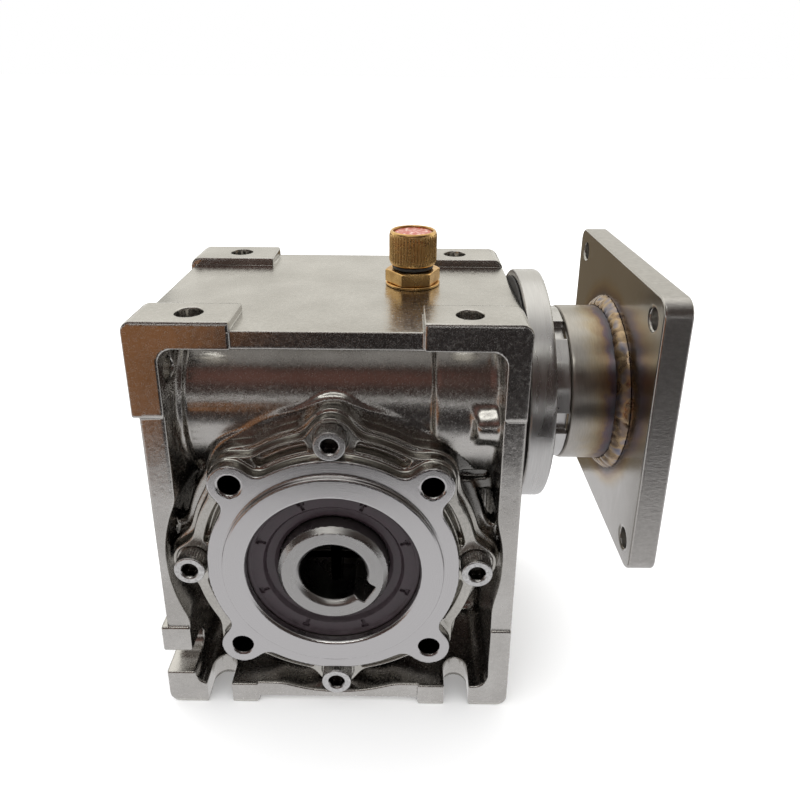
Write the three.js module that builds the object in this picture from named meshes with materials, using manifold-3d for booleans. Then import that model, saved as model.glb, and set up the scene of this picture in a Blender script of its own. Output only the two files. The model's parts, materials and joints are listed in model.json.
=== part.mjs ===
// Worm gearbox, frame size 40, with a keyed hollow output shaft and a welded square motor plate.
// Millimetres, +Z up. The part stands on its feet: the origin is the middle of its box, at the floor.
// Inside this file the shapes are drawn round the output axis: X runs along the worm towards the
// motor plate, Y along the output shaft with the cover on the -Y side, and Z up. The exported group
// then moves them to the floor origin.

import * as THREE from 'three';
import { mergeVertices } from 'three/addons/utils/BufferGeometryUtils.js';
import Module from 'manifold-3d';

const wasm = await Module();
wasm.setup();

// ---------------------------------------------------------------- driving dimensions

const GAP = 0.3; // clearance between neighbours that would touch
const FACE_GAP = 0.1; // clearance between two flat faces that rest on each other
const CUT = 1; // how far a cutter runs past the face that it opens

// Number of flats round a large bore, a breather ring, a shaft, a screw head and a small hole
const LARGE = 32;
const BREATHER = 24;
const MEDIUM = 20;
const HEAD = 16;
const SMALL = 8;

// Housing frame
const HALF_WIDTH = 50;
const HALF_DEPTH = 35.5;
const TOP = 71.5;
const BOTTOM = -50;
const WEB = 5; // half the thickness of the wall in the middle of the frame
const LEFT_WALL = 8.3;
const RIGHT_WALL = 6;
const TOP_WALL = 7.5;
const BOTTOM_WALL = 7;
const FRAME_RADIUS = 3;
const RECESS_RADIUS = 4;

// Pads on the housing's faces, and how deep the faces lie between them
const PAD_X = 23.5;
const PAD_Y = 21.5;
const PAD_TOP = 45; // the side pads reach down to this height from the top
const PAD_LOW = -22; // and up to this height from the bottom
const TOP_RELIEF = 2.5;
const FOOT_RELIEF = 2;
const LEFT_RELIEF = 1.8;
const FRONT_RELIEF = 0.6;

// Mounting holes and slots
const HOLE_X = 35;
const HOLE_Y = 28.7;
const HOLE_R = 3.5;
const SIDE_HOLE_Z = 56;
const SIDE_SLOT_Z = -34.6;
const SIDE_SLOT_R = 4.1;
const FOOT_SLOT_R = 3.6;

// Gear case
const CASE_R = 43;
const CASE_HALF = 26;
const CASE_RELIEF_R = 46;
const CHAMBER_R = 34.5;
const CHAMBER_REAR = 16.5;
const CAST_LUG = { radius: 5, start: 37, y: 28, z: 42 }; // beside the barrel, at its input end

// Worm axis
const WORM_Z = 40; // centre distance
const BARREL_R = 26;
const BARREL_END_R = 30;
const BARREL_LEFT = -38; // the barrel is thicker outside these two places
const BARREL_RIGHT = 26.5;
const WORM_BORE_R = 15;
const WORM_SEAT_R = 23.5;
const WORM_SEAT_START = 28.5;
const CIRCLIP_START = 41.2;
const CIRCLIP_WIDTH = 1.6;
const CIRCLIP_R = 24.7;
const CIRCLIP_DEPTH = 2.2; // how far the ring stands into the bore
const CIRCLIP_EAR = { y: 4.5, below: 3.4, radius: 2.2, hole: 1 };
const GROOVE_PLAY = 0.2;
const END_CAP = { inset: 0.3, width: 5, dish: 1.2, rim: 3.4, bevel: 0.6 };

// Output side
const FACE_Y = 37; // the lug face
const SPIGOT_Y = 38.5;
const SPIGOT_R = 30;
const FACE_R = 34.3;
const LUG_PCD_R = 37.5;
const LUG_R = 5.8;
const LUG_HOLE_R = 2.9;
const LUG_HOLE_DEPTH = 10;
const COVER_SCREW_R = 39; // radius of the circle that the cover screws stand on
const COVER_SCREW_LENGTH = 18;
const COVER_SCREW_HOLE_END = -13;
const COVER_BOSS_R = 6;
const HEAD_ROOM = 0.5; // round a screw head in the cover
const TERRACE_Y = 33; // the step that the screw heads sit on
const TERRACE_R = 38.5;
const PILOT_DEPTH = 6;

// Output shaft and its bearings (30 x 55 x 13) and seals (30 x 47 x 7)
const SHAFT_HALF = 39;
const SHAFT_R = 15;
const BORE_R = 9;
const KEY_WIDTH = 6;
const KEY_TOP = 11.8;
const KEY_ANGLE = THREE.MathUtils.degToRad(-32);
const OUT_BEARING = { inner: 15, outer: 27.5, width: 13, middle: 24.5, balls: 8 };
const OUT_SEAL_R = 23.5;
const OUT_SEAL_Y = 31.3;
const OUT_SEAL_FACE = 37;

// Worm bearings (25 x 47 x 12), at both ends of the worm
const WORM_BEARING = { inner: 12.5, outer: 23.5, width: 12, middle: 34.9, balls: 7 };

// Worm gear: module 2, one start, 30 teeth
const MODULE = 2;
const TEETH = 30;
const WORM_PITCH_R = 10;
const WHEEL_HALF = 10;
const WHEEL_HUB_R = 22;
const PRESSURE_ANGLE = THREE.MathUtils.degToRad(20);
const BACKLASH = 0.16; // taken off each flank of a wheel tooth, along the pitch circle
const DEDENDUM = 1.25; // root depth below the pitch circle, in modules
const WORM_DEDENDUM = 1.2;
const WORM_TURNS = 5;
const WORM_STEPS_PER_TURN = 20;
const THREAD_BURIED = 1; // how far the thread's foot lies below the worm's core

// Input flange, collar, tube and motor plate, by their place along X
const GASKET_X = [50.1, 50.7];
const FLANGE_X = [50.8, 58.3];
const COLLAR_X = [58.5, 64];
const TUBE_X = [64.1, 78.9];
const PLATE_X = [79, 86];
const FLANGE_R = 34;
const GASKET_R = 31.6;
const TUBE_R = 22.8;
const TUBE_WALL = 3;
const FLANGE_SCREW_R = 28;
const FLANGE_SCREW_LENGTH = 8.5;
const FLANGE_HOLE_START = 44.5;
const FLANGE_EDGE = 1.2; // the rounding of its outer edge
const GASKET_BORE_R = 24.5;
const COLLAR_BORE_R = 15;
const COLLAR_SLOT = { depth: 3.2, half: 3.3 };
const COLLAR_SLOTS = 5;
const COLLAR_FIRST_SLOT = THREE.MathUtils.degToRad(65);
const WELD_LEG = 4.2;
const PLATE_SIDE = 77.6;
const PLATE_RADIUS = 4.5;
const PLATE_HOLE = 32;
const PLATE_HOLE_R = 2.75;
const PILOT_R = 35;
const PILOT_FLOOR = 83;

// Breather
const VENT_X = 21;
const VENT_Y = 4.5;
const VENT_THREAD_R = 6.5;
const HEX_ACROSS_FLATS = 14;
const VENT_Z = { washer: 69.1, hex: 69.9, ring: 73.8, cap: 75, top: 85.2 };
const CAP_R = 7.1;
const WASHER_R = 8;
const HEX_TURN = 0.12;
const VENT_RING = { inner: 4.7, outer: 6.2 };
const VENT_THREAD_END = 60.5;
const VENT_HOLE_END = 60;
const VENT_DRAIN = { radius: 4, end: 50 };
const VENT_NECK = { radius: 4.4, bore: 1.5, top: 79, roof: 79.6 };
const CAP_RIDGES = { count: 24, depth: 0.35 };
const CAP_RECESS = { radius: 5.7, floor: 84, disc: 0.6 };

// Socket head screw, M5
const SCREW = { shank: 2.5, head: 4.25, height: 4.8, socket: 4, socketDepth: 2.6 };
const SCREW_HOLE_R = SCREW.shank + GAP;

// ---------------------------------------------------------------- finishes

function finish(color, roughness, metalness) {
  return { color, roughness, metalness };
}

const CAST_STEEL = finish(0xa8a8a4, 0.45, 0.9);
const MACHINED_STEEL = finish(0xc4c4c0, 0.3, 1);
const BEARING_STEEL = finish(0xb8bcc2, 0.15, 1);
const BRONZE = finish(0xb08040, 0.35, 1);
const BRASS = finish(0xa87838, 0.3, 1);
const SEAL_RUBBER = finish(0x3a2c34, 0.6, 0);
const BLACK_RUBBER = finish(0x181818, 0.7, 0);
const GASKET_FIBRE = finish(0x303030, 0.8, 0);
const WELD_STEEL = finish(0x8a6a48, 0.35, 1);
const VENT_RED = finish(0xc06058, 0.5, 0);

// ---------------------------------------------------------------- solids

function signedVolume(positions, index) {
  const a = new THREE.Vector3();
  const b = new THREE.Vector3();
  const c = new THREE.Vector3();
  let volume = 0;
  for (let i = 0; i < index.length; i += 3) {
    a.fromArray(positions, index[i] * 3);
    b.fromArray(positions, index[i + 1] * 3);
    c.fromArray(positions, index[i + 2] * 3);
    volume += a.dot(b.cross(c)) / 6;
  }
  return volume;
}

// A closed three.js geometry as a manifold solid with its faces pointing out.
function solid(geometry) {
  geometry.deleteAttribute('normal');
  geometry.deleteAttribute('uv');
  const merged = mergeVertices(geometry, 1e-4);
  const vertProperties = new Float32Array(merged.attributes.position.array);
  const triVerts = [];
  const index = merged.index.array;
  for (let i = 0; i < index.length; i += 3) {
    const [a, b, c] = [index[i], index[i + 1], index[i + 2]];
    if (a !== b && b !== c && c !== a) triVerts.push(a, b, c);
  }
  if (signedVolume(vertProperties, triVerts) < 0) triVerts.reverse();
  return new wasm.Manifold(
    new wasm.Mesh({ numProp: 3, vertProperties, triVerts: new Uint32Array(triVerts) }),
  );
}

function join(parts) {
  return parts.reduce((whole, part) => whole.add(part));
}

function cut(body, cutters) {
  return cutters.reduce((rest, cutter) => rest.subtract(cutter), body);
}

const group = new THREE.Group();

// Adds one named sub-part to the model.
function part(name, body, look) {
  const { numProp, vertProperties, triVerts } = body.getMesh();
  if (numProp !== 3) throw new Error(`${name} carries extra vertex properties`);
  const geometry = new THREE.BufferGeometry();
  geometry.setAttribute('position', new THREE.BufferAttribute(new Float32Array(vertProperties), 3));
  geometry.setIndex(new THREE.BufferAttribute(new Uint32Array(triVerts), 1));
  geometry.computeVertexNormals();
  const mesh = new THREE.Mesh(geometry, new THREE.MeshStandardMaterial(look));
  mesh.name = name;
  group.add(mesh);
}

function box(x, y, z) {
  const geometry = new THREE.BoxGeometry(x[1] - x[0], y[1] - y[0], z[1] - z[0]);
  geometry.translate((x[0] + x[1]) / 2, (y[0] + y[1]) / 2, (z[0] + z[1]) / 2);
  return solid(geometry);
}

// Turns a geometry drawn about +Y so that it lies about the named axis, then moves it there.
const TURN = {
  x: new THREE.Matrix4().makeBasis(
    new THREE.Vector3(0, 1, 0),
    new THREE.Vector3(1, 0, 0),
    new THREE.Vector3(0, 0, -1),
  ),
  y: new THREE.Matrix4(),
  z: new THREE.Matrix4().makeRotationX(Math.PI / 2),
};

// Points that the two main axes pass through
const ON_OUTPUT = [0, 0, 0];
const ON_WORM = [0, 0, WORM_Z];

// A profile of [radius, place along the axis] points, turned about an axis through centre.
function turned(axis, profile, centre, segments) {
  const points = profile.map(([radius, along]) => new THREE.Vector2(radius, along));
  const geometry = new THREE.LatheGeometry(points, segments);
  geometry.applyMatrix4(TURN[axis]);
  geometry.translate(...centre);
  return solid(geometry);
}

function rod(axis, radius, from, to, centre = ON_OUTPUT, segments = MEDIUM) {
  const profile = [[0, from], [radius, from], [radius, to], [0, to]];
  return turned(axis, profile, centre, segments);
}

// A ring with a rectangular section.
function ring(axis, inner, outer, from, to, centre = ON_OUTPUT, segments = MEDIUM) {
  const profile = [[inner, from], [outer, from], [outer, to], [inner, to], [inner, from]];
  return turned(axis, profile, centre, segments);
}

const AT_VENT = [VENT_X, VENT_Y, 0];

// A rod or ring about the breather's upright axis, between two heights.
function upright(inner, outer, low, high, segments) {
  const make = inner > 0
    ? ring('z', inner, outer, -high, -low, AT_VENT, segments)
    : rod('z', outer, -high, -low, AT_VENT, segments);
  return make.mirror([0, 0, 1]);
}

// A flat outline drawn in X and Z, as thick as y says.
function slabXZ(shape, y, curveSegments = 3) {
  const depth = y[1] - y[0];
  const geometry = new THREE.ExtrudeGeometry(shape, { depth, bevelEnabled: false, curveSegments });
  geometry.rotateX(Math.PI / 2);
  geometry.translate(0, y[1], 0);
  return solid(geometry);
}

// A flat outline drawn in Y and Z, as thick as x says.
function slabYZ(shape, x, curveSegments = 3) {
  const depth = x[1] - x[0];
  const geometry = new THREE.ExtrudeGeometry(shape, { depth, bevelEnabled: false, curveSegments });
  geometry.applyMatrix4(
    new THREE.Matrix4().makeBasis(
      new THREE.Vector3(0, 1, 0),
      new THREE.Vector3(0, 0, 1),
      new THREE.Vector3(1, 0, 0),
    ),
  );
  geometry.translate(x[0], 0, 0);
  return solid(geometry);
}

function roundedRectangle(left, right, low, high, radius) {
  const shape = new THREE.Shape();
  shape.absarc(right - radius, low + radius, radius, -Math.PI / 2, 0);
  shape.absarc(right - radius, high - radius, radius, 0, Math.PI / 2);
  shape.absarc(left + radius, high - radius, radius, Math.PI / 2, Math.PI);
  shape.absarc(left + radius, low + radius, radius, Math.PI, 1.5 * Math.PI);
  return shape;
}

// A regular outline with the given number of corners and distance across its flats.
function polygon(corners, acrossFlats, turn = 0) {
  const radius = acrossFlats / 2 / Math.cos(Math.PI / corners);
  const points = [];
  for (let i = 0; i < corners; i++) {
    const angle = turn + (2 * Math.PI * i) / corners;
    points.push(new THREE.Vector2(radius * Math.cos(angle), radius * Math.sin(angle)));
  }
  return new THREE.Shape(points);
}

// Places at equal steps round the output axis, as [x, z].
function aroundOutput(radius, first, count = 4) {
  const places = [];
  for (let i = 0; i < count; i++) {
    const angle = first + (2 * Math.PI * i) / count;
    places.push([radius * Math.cos(angle), radius * Math.sin(angle)]);
  }
  return places;
}

const LUGS = aroundOutput(LUG_PCD_R, Math.PI / 4);
const COVER_SCREWS = aroundOutput(COVER_SCREW_R, 0);
const FLANGE_SCREWS = aroundOutput(FLANGE_SCREW_R, Math.PI / 4);

// ---------------------------------------------------------------- housing

// The stepped flange round an output bore, from the case to the lug face, on the side of sign.
function outputFlange(sign, from) {
  const span = (a, b) => (sign < 0 ? [-b, -a] : [a, b]);
  const disc = (radius, a, b, place, segments) => {
    const [low, high] = span(a, b);
    return rod('y', radius, low, high, [place[0], 0, place[1]], segments);
  };
  const steps = [
    disc(TERRACE_R, from, TERRACE_Y, [0, 0], LARGE),
    disc(FACE_R, from, FACE_Y, [0, 0], LARGE),
    disc(SPIGOT_R, from, SPIGOT_Y, [0, 0], LARGE),
  ];
  const lugs = LUGS.map((place) => disc(LUG_R, from, FACE_Y, place, HEAD));
  return join([...steps, ...lugs]);
}

function lugHoles(sign) {
  const ends = [FACE_Y - LUG_HOLE_DEPTH, FACE_Y + CUT].map((value) => value * sign);
  const y = [Math.min(...ends), Math.max(...ends)];
  return LUGS.map(([x, z]) => rod('y', LUG_HOLE_R, y[0], y[1], [x, 0, z], SMALL));
}

// Cuts the faces of the housing back between the corner pads.
function padReliefs() {
  const wide = [-HALF_WIDTH - CUT, HALF_WIDTH + CUT];
  const deep = [-HALF_DEPTH - CUT, HALF_DEPTH + CUT];
  const tall = [BOTTOM - CUT, TOP + CUT];
  const middleX = [-PAD_X, PAD_X];
  const middleY = [-PAD_Y, PAD_Y];
  const middleZ = [PAD_LOW, PAD_TOP];
  const above = [TOP - TOP_RELIEF, TOP + CUT];
  const below = [BOTTOM - CUT, BOTTOM + FOOT_RELIEF];
  const leftOf = [-HALF_WIDTH - CUT, -HALF_WIDTH + LEFT_RELIEF];
  const front = [-HALF_DEPTH - CUT, -HALF_DEPTH + FRONT_RELIEF];
  const rear = [HALF_DEPTH - FRONT_RELIEF, HALF_DEPTH + CUT];
  return [
    box(middleX, deep, above),
    box(wide, middleY, above),
    box(middleX, deep, below),
    box(wide, middleY, below),
    box(leftOf, deep, middleZ),
    box(leftOf, middleY, tall),
    box(middleX, front, tall),
    box(wide, front, middleZ),
    box(middleX, rear, tall),
    box(wide, rear, middleZ),
  ];
}

// Bolt holes through the top and left pads, and slots open at the edge in the feet and left pads.
function mountingHoles() {
  const cutters = [];
  const wall = [-HALF_WIDTH - CUT, -HALF_WIDTH + LEFT_WALL + CUT];
  for (const side of [-1, 1]) {
    const y = side * HOLE_Y;
    const toEdge = side < 0 ? [-HALF_DEPTH - CUT, y] : [y, HALF_DEPTH + CUT];
    const slotZ = [SIDE_SLOT_Z - SIDE_SLOT_R, SIDE_SLOT_Z + SIDE_SLOT_R];
    cutters.push(
      rod('x', HOLE_R, wall[0], wall[1], [0, y, SIDE_HOLE_Z], SMALL),
      rod('x', SIDE_SLOT_R, wall[0], wall[1], [0, y, SIDE_SLOT_Z], SMALL),
      box(wall, toEdge, slotZ),
    );
    for (const x of [-HOLE_X, HOLE_X]) {
      const footZ = [BOTTOM - CUT, BOTTOM + BOTTOM_WALL + CUT];
      cutters.push(
        rod('z', HOLE_R, -TOP - CUT, -TOP + TOP_WALL + CUT, [x, y, 0], SMALL).mirror([0, 0, 1]),
        rod('z', FOOT_SLOT_R, -footZ[1], -footZ[0], [x, y, 0], SMALL).mirror([0, 0, 1]),
        box([x - FOOT_SLOT_R, x + FOOT_SLOT_R], toEdge, footZ),
      );
    }
  }
  return cutters;
}

function housing() {
  const outline = roundedRectangle(-HALF_WIDTH, HALF_WIDTH, BOTTOM, TOP, FRAME_RADIUS);
  const frame = slabXZ(outline, [-HALF_DEPTH, HALF_DEPTH]);
  const opening = roundedRectangle(
    -HALF_WIDTH + LEFT_WALL,
    HALF_WIDTH - RIGHT_WALL,
    BOTTOM + BOTTOM_WALL,
    TOP - TOP_WALL,
    RECESS_RADIUS,
  );
  const recesses = [[-HALF_DEPTH - CUT, -WEB], [WEB, HALF_DEPTH + CUT]].flatMap((y) => [
    slabXZ(opening, y),
    rod('y', CASE_RELIEF_R, y[0], y[1], ON_OUTPUT, LARGE),
  ]);
  const castings = [
    rod('y', CASE_R, -CASE_HALF, CASE_HALF, ON_OUTPUT, LARGE),
    outputFlange(1, CASE_HALF - CUT),
    rod('x', BARREL_R, -HALF_WIDTH + CUT, HALF_WIDTH - CUT, ON_WORM, MEDIUM),
    rod('x', BARREL_END_R, -HALF_WIDTH + CUT, BARREL_LEFT, ON_WORM, MEDIUM),
    rod('x', BARREL_END_R, BARREL_RIGHT, HALF_WIDTH - CUT, ON_WORM, MEDIUM),
    ...[-CAST_LUG.y, CAST_LUG.y].map((y) =>
      rod('x', CAST_LUG.radius, CAST_LUG.start, HALF_WIDTH - CUT, [0, y, CAST_LUG.z], SMALL),
    ),
  ];
  const seats = [-1, 1].flatMap((side) => {
    const span = (a, b) => (side < 0 ? [-b, -a] : [a, b]);
    const bore = span(WORM_SEAT_START, HALF_WIDTH + CUT);
    const groove = span(CIRCLIP_START - GROOVE_PLAY, CIRCLIP_START + CIRCLIP_WIDTH + GROOVE_PLAY);
    return [
      rod('x', WORM_SEAT_R + GAP, bore[0], bore[1], ON_WORM, LARGE),
      rod('x', CIRCLIP_R + GAP, groove[0], groove[1], ON_WORM, LARGE),
    ];
  });
  const bores = [
    rod('y', CASE_RELIEF_R, -HALF_DEPTH - CUT, -CASE_HALF, ON_OUTPUT, LARGE),
    rod('y', CHAMBER_R, -CASE_HALF - CUT, CHAMBER_REAR, ON_OUTPUT, LARGE),
    rod('y', OUT_BEARING.outer + GAP, CHAMBER_REAR - CUT, OUT_SEAL_Y - FACE_GAP, ON_OUTPUT, LARGE),
    rod('y', OUT_SEAL_R + GAP, OUT_SEAL_Y - CUT, SPIGOT_Y + CUT, ON_OUTPUT, LARGE),
    rod('x', WORM_BORE_R, -WORM_SEAT_START - CUT, WORM_SEAT_START + CUT, ON_WORM, MEDIUM),
  ];
  const coverScrewHole = ([x, z]) =>
    rod('y', SCREW_HOLE_R, -CASE_HALF - CUT, COVER_SCREW_HOLE_END, [x, 0, z], SMALL);
  const screwHoles = [
    ...COVER_SCREWS.map(coverScrewHole),
    ...FLANGE_SCREWS.map(flangeScrewHole),
  ];
  const ventHoles = [
    upright(0, VENT_THREAD_R + GAP, VENT_HOLE_END, TOP + CUT, MEDIUM),
    upright(0, VENT_DRAIN.radius, VENT_DRAIN.end, VENT_HOLE_END + CUT, SMALL),
  ];
  return cut(cut(frame, recesses).add(join(castings)), [
    ...padReliefs(),
    ...mountingHoles(),
    ...lugHoles(1),
    ...seats,
    ...bores,
    ...screwHoles,
    ...ventHoles,
  ]);
}

part('housing', housing(), CAST_STEEL);

// ---------------------------------------------------------------- output cover

// A socket head screw whose head ends at `top`, with its shank pointing back along the axis.
function socketScrew(axis, top, length, direction, centre) {
  const under = top - direction * SCREW.height;
  const tip = under - direction * length;
  const along = (a, b) => (a < b ? [a, b] : [b, a]);
  const head = along(top, under);
  const shank = along(under + (direction * SCREW.height) / 2, tip);
  const socketSpan = along(top + direction * CUT, top - direction * SCREW.socketDepth);
  const socket = polygon(6, SCREW.socket);
  const makeSlab = axis === 'y' ? slabXZ : slabYZ;
  const hollow = makeSlab(socket, socketSpan).translate(centre);
  return rod(axis, SCREW.head, ...head, centre, HEAD)
    .add(rod(axis, SCREW.shank, ...shank, centre, SMALL))
    .subtract(hollow);
}

const O_RING = { y: -23.4, radius: 32.9, section: 0.9 };

function outputCover() {
  const pilotEnd = -CASE_HALF + PILOT_DEPTH;
  const inner = -CASE_HALF - FACE_GAP;
  const bosses = COVER_SCREWS.map(([x, z]) =>
    rod('y', COVER_BOSS_R, -TERRACE_Y, inner, [x, 0, z], HEAD),
  );
  const body = join([
    outputFlange(-1, -inner),
    rod('y', CHAMBER_R - GAP, inner - CUT, pilotEnd, ON_OUTPUT, LARGE),
    ...bosses,
  ]);
  const groove = ring(
    'y',
    O_RING.radius - O_RING.section - GAP,
    CHAMBER_R + CUT,
    O_RING.y - O_RING.section - GAP,
    O_RING.y + O_RING.section + GAP,
    ON_OUTPUT,
    LARGE,
  );
  const headRoom = ([x, z]) =>
    rod('y', SCREW.head + HEAD_ROOM, -SPIGOT_Y - CUT, -TERRACE_Y, [x, 0, z], HEAD);
  const screwHole = ([x, z]) => rod('y', SCREW_HOLE_R, -SPIGOT_Y, inner + CUT, [x, 0, z], SMALL);
  return cut(body, [
    groove,
    rod('y', OUT_BEARING.outer + GAP, FACE_GAP - OUT_SEAL_Y, pilotEnd + CUT, ON_OUTPUT, LARGE),
    rod('y', OUT_SEAL_R + GAP, -SPIGOT_Y - CUT, -OUT_SEAL_Y + CUT, ON_OUTPUT, LARGE),
    ...COVER_SCREWS.map(headRoom),
    ...COVER_SCREWS.map(screwHole),
    ...lugHoles(-1),
  ]);
}

part('output_cover', outputCover(), CAST_STEEL);

function roundRing(axis, radius, section, along, centre, segments) {
  const sides = 6;
  const profile = [];
  for (let i = 0; i <= sides; i++) {
    const angle = (2 * Math.PI * i) / sides;
    profile.push([radius + section * Math.cos(angle), along + section * Math.sin(angle)]);
  }
  return turned(axis, profile, centre, segments);
}

const coverRing = roundRing('y', O_RING.radius, O_RING.section, O_RING.y, ON_OUTPUT, LARGE);
part('cover_o_ring', coverRing, BLACK_RUBBER);

COVER_SCREWS.forEach(([x, z], i) => {
  const top = -TERRACE_Y - FACE_GAP - SCREW.height;
  const screw = socketScrew('y', top, COVER_SCREW_LENGTH, -1, [x, 0, z]);
  part(`cover_screw_${i + 1}`, screw, MACHINED_STEEL);
});

// ---------------------------------------------------------------- seals

const SEAL = { rim: 1.5, rimSet: 0.9, lip: 1.6, lipSet: 0.5, edgeSet: 1.2, back: 2.2, backSet: 2.4 };

// A lip seal that fills its seat, with its face set in between the outer rim and the lip.
function lipSeal(axis, outer, inner, from, to, centre) {
  const face = Math.sign(to - from);
  return turned(
    axis,
    [
      [inner, to - face * SEAL.edgeSet],
      [inner + SEAL.lip, to - face * SEAL.lipSet],
      [outer - SEAL.rim, to - face * SEAL.rimSet],
      [outer, to],
      [outer, from],
      [inner + SEAL.back, to - face * SEAL.backSet],
      [inner, to - face * SEAL.edgeSet],
    ],
    centre,
    MEDIUM,
  );
}

for (const [name, sign] of [['front', -1], ['rear', 1]]) {
  const seal = lipSeal(
    'y',
    OUT_SEAL_R,
    SHAFT_R + GAP,
    sign * OUT_SEAL_Y,
    sign * OUT_SEAL_FACE,
    ON_OUTPUT,
  );
  part(`output_seal_${name}`, seal, SEAL_RUBBER);
}

// ---------------------------------------------------------------- bearings

// Shares of a bearing's width of ring, and then of its ball: the ball, a race's shoulder, the cage
const BALL_SHARE = 0.27;
const SHOULDER_SHARE = 0.6;
const CAGE_SHARE = 0.3;
const RACE_GAP = { inner: 0.3, outer: 0.5 };

// A ball bearing as three nodes: both races, and the balls held in their cage.
function ballBearing(name, axis, size, middle, centre, balls) {
  const ballR = (size.outer - size.inner) * BALL_SHARE;
  const pitchR = (size.outer + size.inner) / 2;
  const half = size.width / 2;
  const low = middle - half;
  const high = middle + half;
  const innerTop = pitchR - ballR * SHOULDER_SHARE;
  const outerBottom = pitchR + ballR * SHOULDER_SHARE;
  const inner = [
    [size.inner + GAP, low],
    [innerTop, low],
    [pitchR - ballR - RACE_GAP.inner, middle],
    [innerTop, high],
    [size.inner + GAP, high],
    [size.inner + GAP, low],
  ];
  const outer = [
    [outerBottom, low],
    [size.outer, low],
    [size.outer, high],
    [outerBottom, high],
    [pitchR + ballR + RACE_GAP.outer, middle],
    [outerBottom, low],
  ];
  part(`${name}_inner`, turned(axis, inner, centre, MEDIUM), BEARING_STEEL);
  part(`${name}_outer`, turned(axis, outer, centre, MEDIUM), BEARING_STEEL);
  const cageR = ballR * CAGE_SHARE;
  const pieces = [
    ring(axis, pitchR - cageR, pitchR + cageR, middle - cageR, middle + ballR, centre, MEDIUM),
  ];
  for (let i = 0; i < balls; i++) {
    const angle = (2 * Math.PI * i) / balls;
    const ball = new THREE.OctahedronGeometry(ballR, 1);
    ball.translate(pitchR * Math.cos(angle), middle, pitchR * Math.sin(angle));
    ball.applyMatrix4(TURN[axis]);
    ball.translate(...centre);
    pieces.push(solid(ball));
  }
  part(`${name}_balls`, join(pieces), BEARING_STEEL);
}

for (const [side, sign] of [['front', -1], ['rear', 1]]) {
  const name = `output_bearing_${side}`;
  ballBearing(name, 'y', OUT_BEARING, sign * OUT_BEARING.middle, ON_OUTPUT, OUT_BEARING.balls);
}
for (const [side, sign] of [['end', -1], ['input', 1]]) {
  const name = `worm_bearing_${side}`;
  ballBearing(name, 'x', WORM_BEARING, sign * WORM_BEARING.middle, ON_WORM, WORM_BEARING.balls);
}

// ---------------------------------------------------------------- output shaft and worm wheel

const SHOULDER_R = 18;
const SHOULDER_HALF = OUT_BEARING.middle - OUT_BEARING.width / 2 - FACE_GAP;
const SHAFT_CHAMFER = 1.3;
const BORE_CHAMFER = 0.6;

function outputShaft() {
  const outside = [
    [BORE_R + BORE_CHAMFER, SHAFT_HALF],
    [SHAFT_R - SHAFT_CHAMFER, SHAFT_HALF],
    [SHAFT_R, SHAFT_HALF - SHAFT_CHAMFER],
    [SHAFT_R, SHOULDER_HALF],
    [SHOULDER_R, SHOULDER_HALF],
    [SHOULDER_R, WHEEL_HALF],
    [WHEEL_HUB_R, WHEEL_HALF],
  ];
  const inside = [BORE_R, SHAFT_HALF - BORE_CHAMFER];
  const mirrored = outside.map(([radius, along]) => [radius, -along]).reverse();
  const profile = [inside, ...outside, ...mirrored, [inside[0], -inside[1]], inside];
  const keyway = box([0, KEY_TOP], [-SHAFT_HALF - CUT, SHAFT_HALF + CUT], [
    -KEY_WIDTH / 2,
    KEY_WIDTH / 2,
  ]);
  const turn = THREE.MathUtils.radToDeg(-KEY_ANGLE);
  return turned('y', profile, ON_OUTPUT, MEDIUM).subtract(keyway.rotate([0, turn, 0]));
}

part('output_shaft', outputShaft(), MACHINED_STEEL);

// Half the angle that a wheel tooth fills at a radius: an involute with its base circle inside.
function toothHalfAngle(radius) {
  const involute = (angle) => Math.tan(angle) - angle;
  const pitchR = (MODULE * TEETH) / 2;
  const baseR = pitchR * Math.cos(PRESSURE_ANGLE);
  const angle = radius > baseR ? Math.acos(baseR / radius) : 0;
  const atPitch = Math.PI / (2 * TEETH) - BACKLASH / pitchR;
  return atPitch + involute(PRESSURE_ANGLE) - involute(angle);
}

// The bronze rim: spur teeth whose section turns along the axis, to match the worm's lead.
function wheelRim() {
  const pitchR = (MODULE * TEETH) / 2;
  const rootR = pitchR - DEDENDUM * MODULE;
  const tipR = pitchR + MODULE;
  const flank = [rootR, pitchR - 0.4 * MODULE, pitchR + 0.3 * MODULE, tipR];
  const points = [];
  for (let tooth = 0; tooth < TEETH; tooth++) {
    const middle = Math.PI / 2 + (2 * Math.PI * (tooth + 0.5)) / TEETH;
    const rising = flank.map((radius) => [radius, middle - toothHalfAngle(radius)]);
    const falling = flank.map((radius) => [radius, middle + toothHalfAngle(radius)]).reverse();
    for (const [radius, angle] of [...rising, ...falling]) {
      points.push(new THREE.Vector2(radius * Math.cos(angle), radius * Math.sin(angle)));
    }
  }
  const shape = new THREE.Shape(points);
  const bore = new THREE.Path();
  bore.absarc(0, 0, WHEEL_HUB_R + GAP, 0, 2 * Math.PI);
  shape.holes.push(bore);
  const geometry = new THREE.ExtrudeGeometry(shape, {
    depth: 2 * WHEEL_HALF,
    steps: 2,
    bevelEnabled: false,
    curveSegments: MEDIUM / 2,
  });
  geometry.rotateX(Math.PI / 2);
  geometry.translate(0, WHEEL_HALF, 0);
  const lead = MODULE / (2 * WORM_PITCH_R); // tangent of the lead angle
  const position = geometry.attributes.position;
  for (let i = 0; i < position.count; i++) {
    const y = position.getY(i);
    const turn = (y * lead) / pitchR;
    const x = position.getX(i);
    const z = position.getZ(i);
    position.setX(i, x * Math.cos(turn) + z * Math.sin(turn));
    position.setZ(i, z * Math.cos(turn) - x * Math.sin(turn));
  }
  return solid(geometry);
}

part('worm_wheel_rim', wheelRim(), BRONZE);

// ---------------------------------------------------------------- worm shaft

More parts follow.
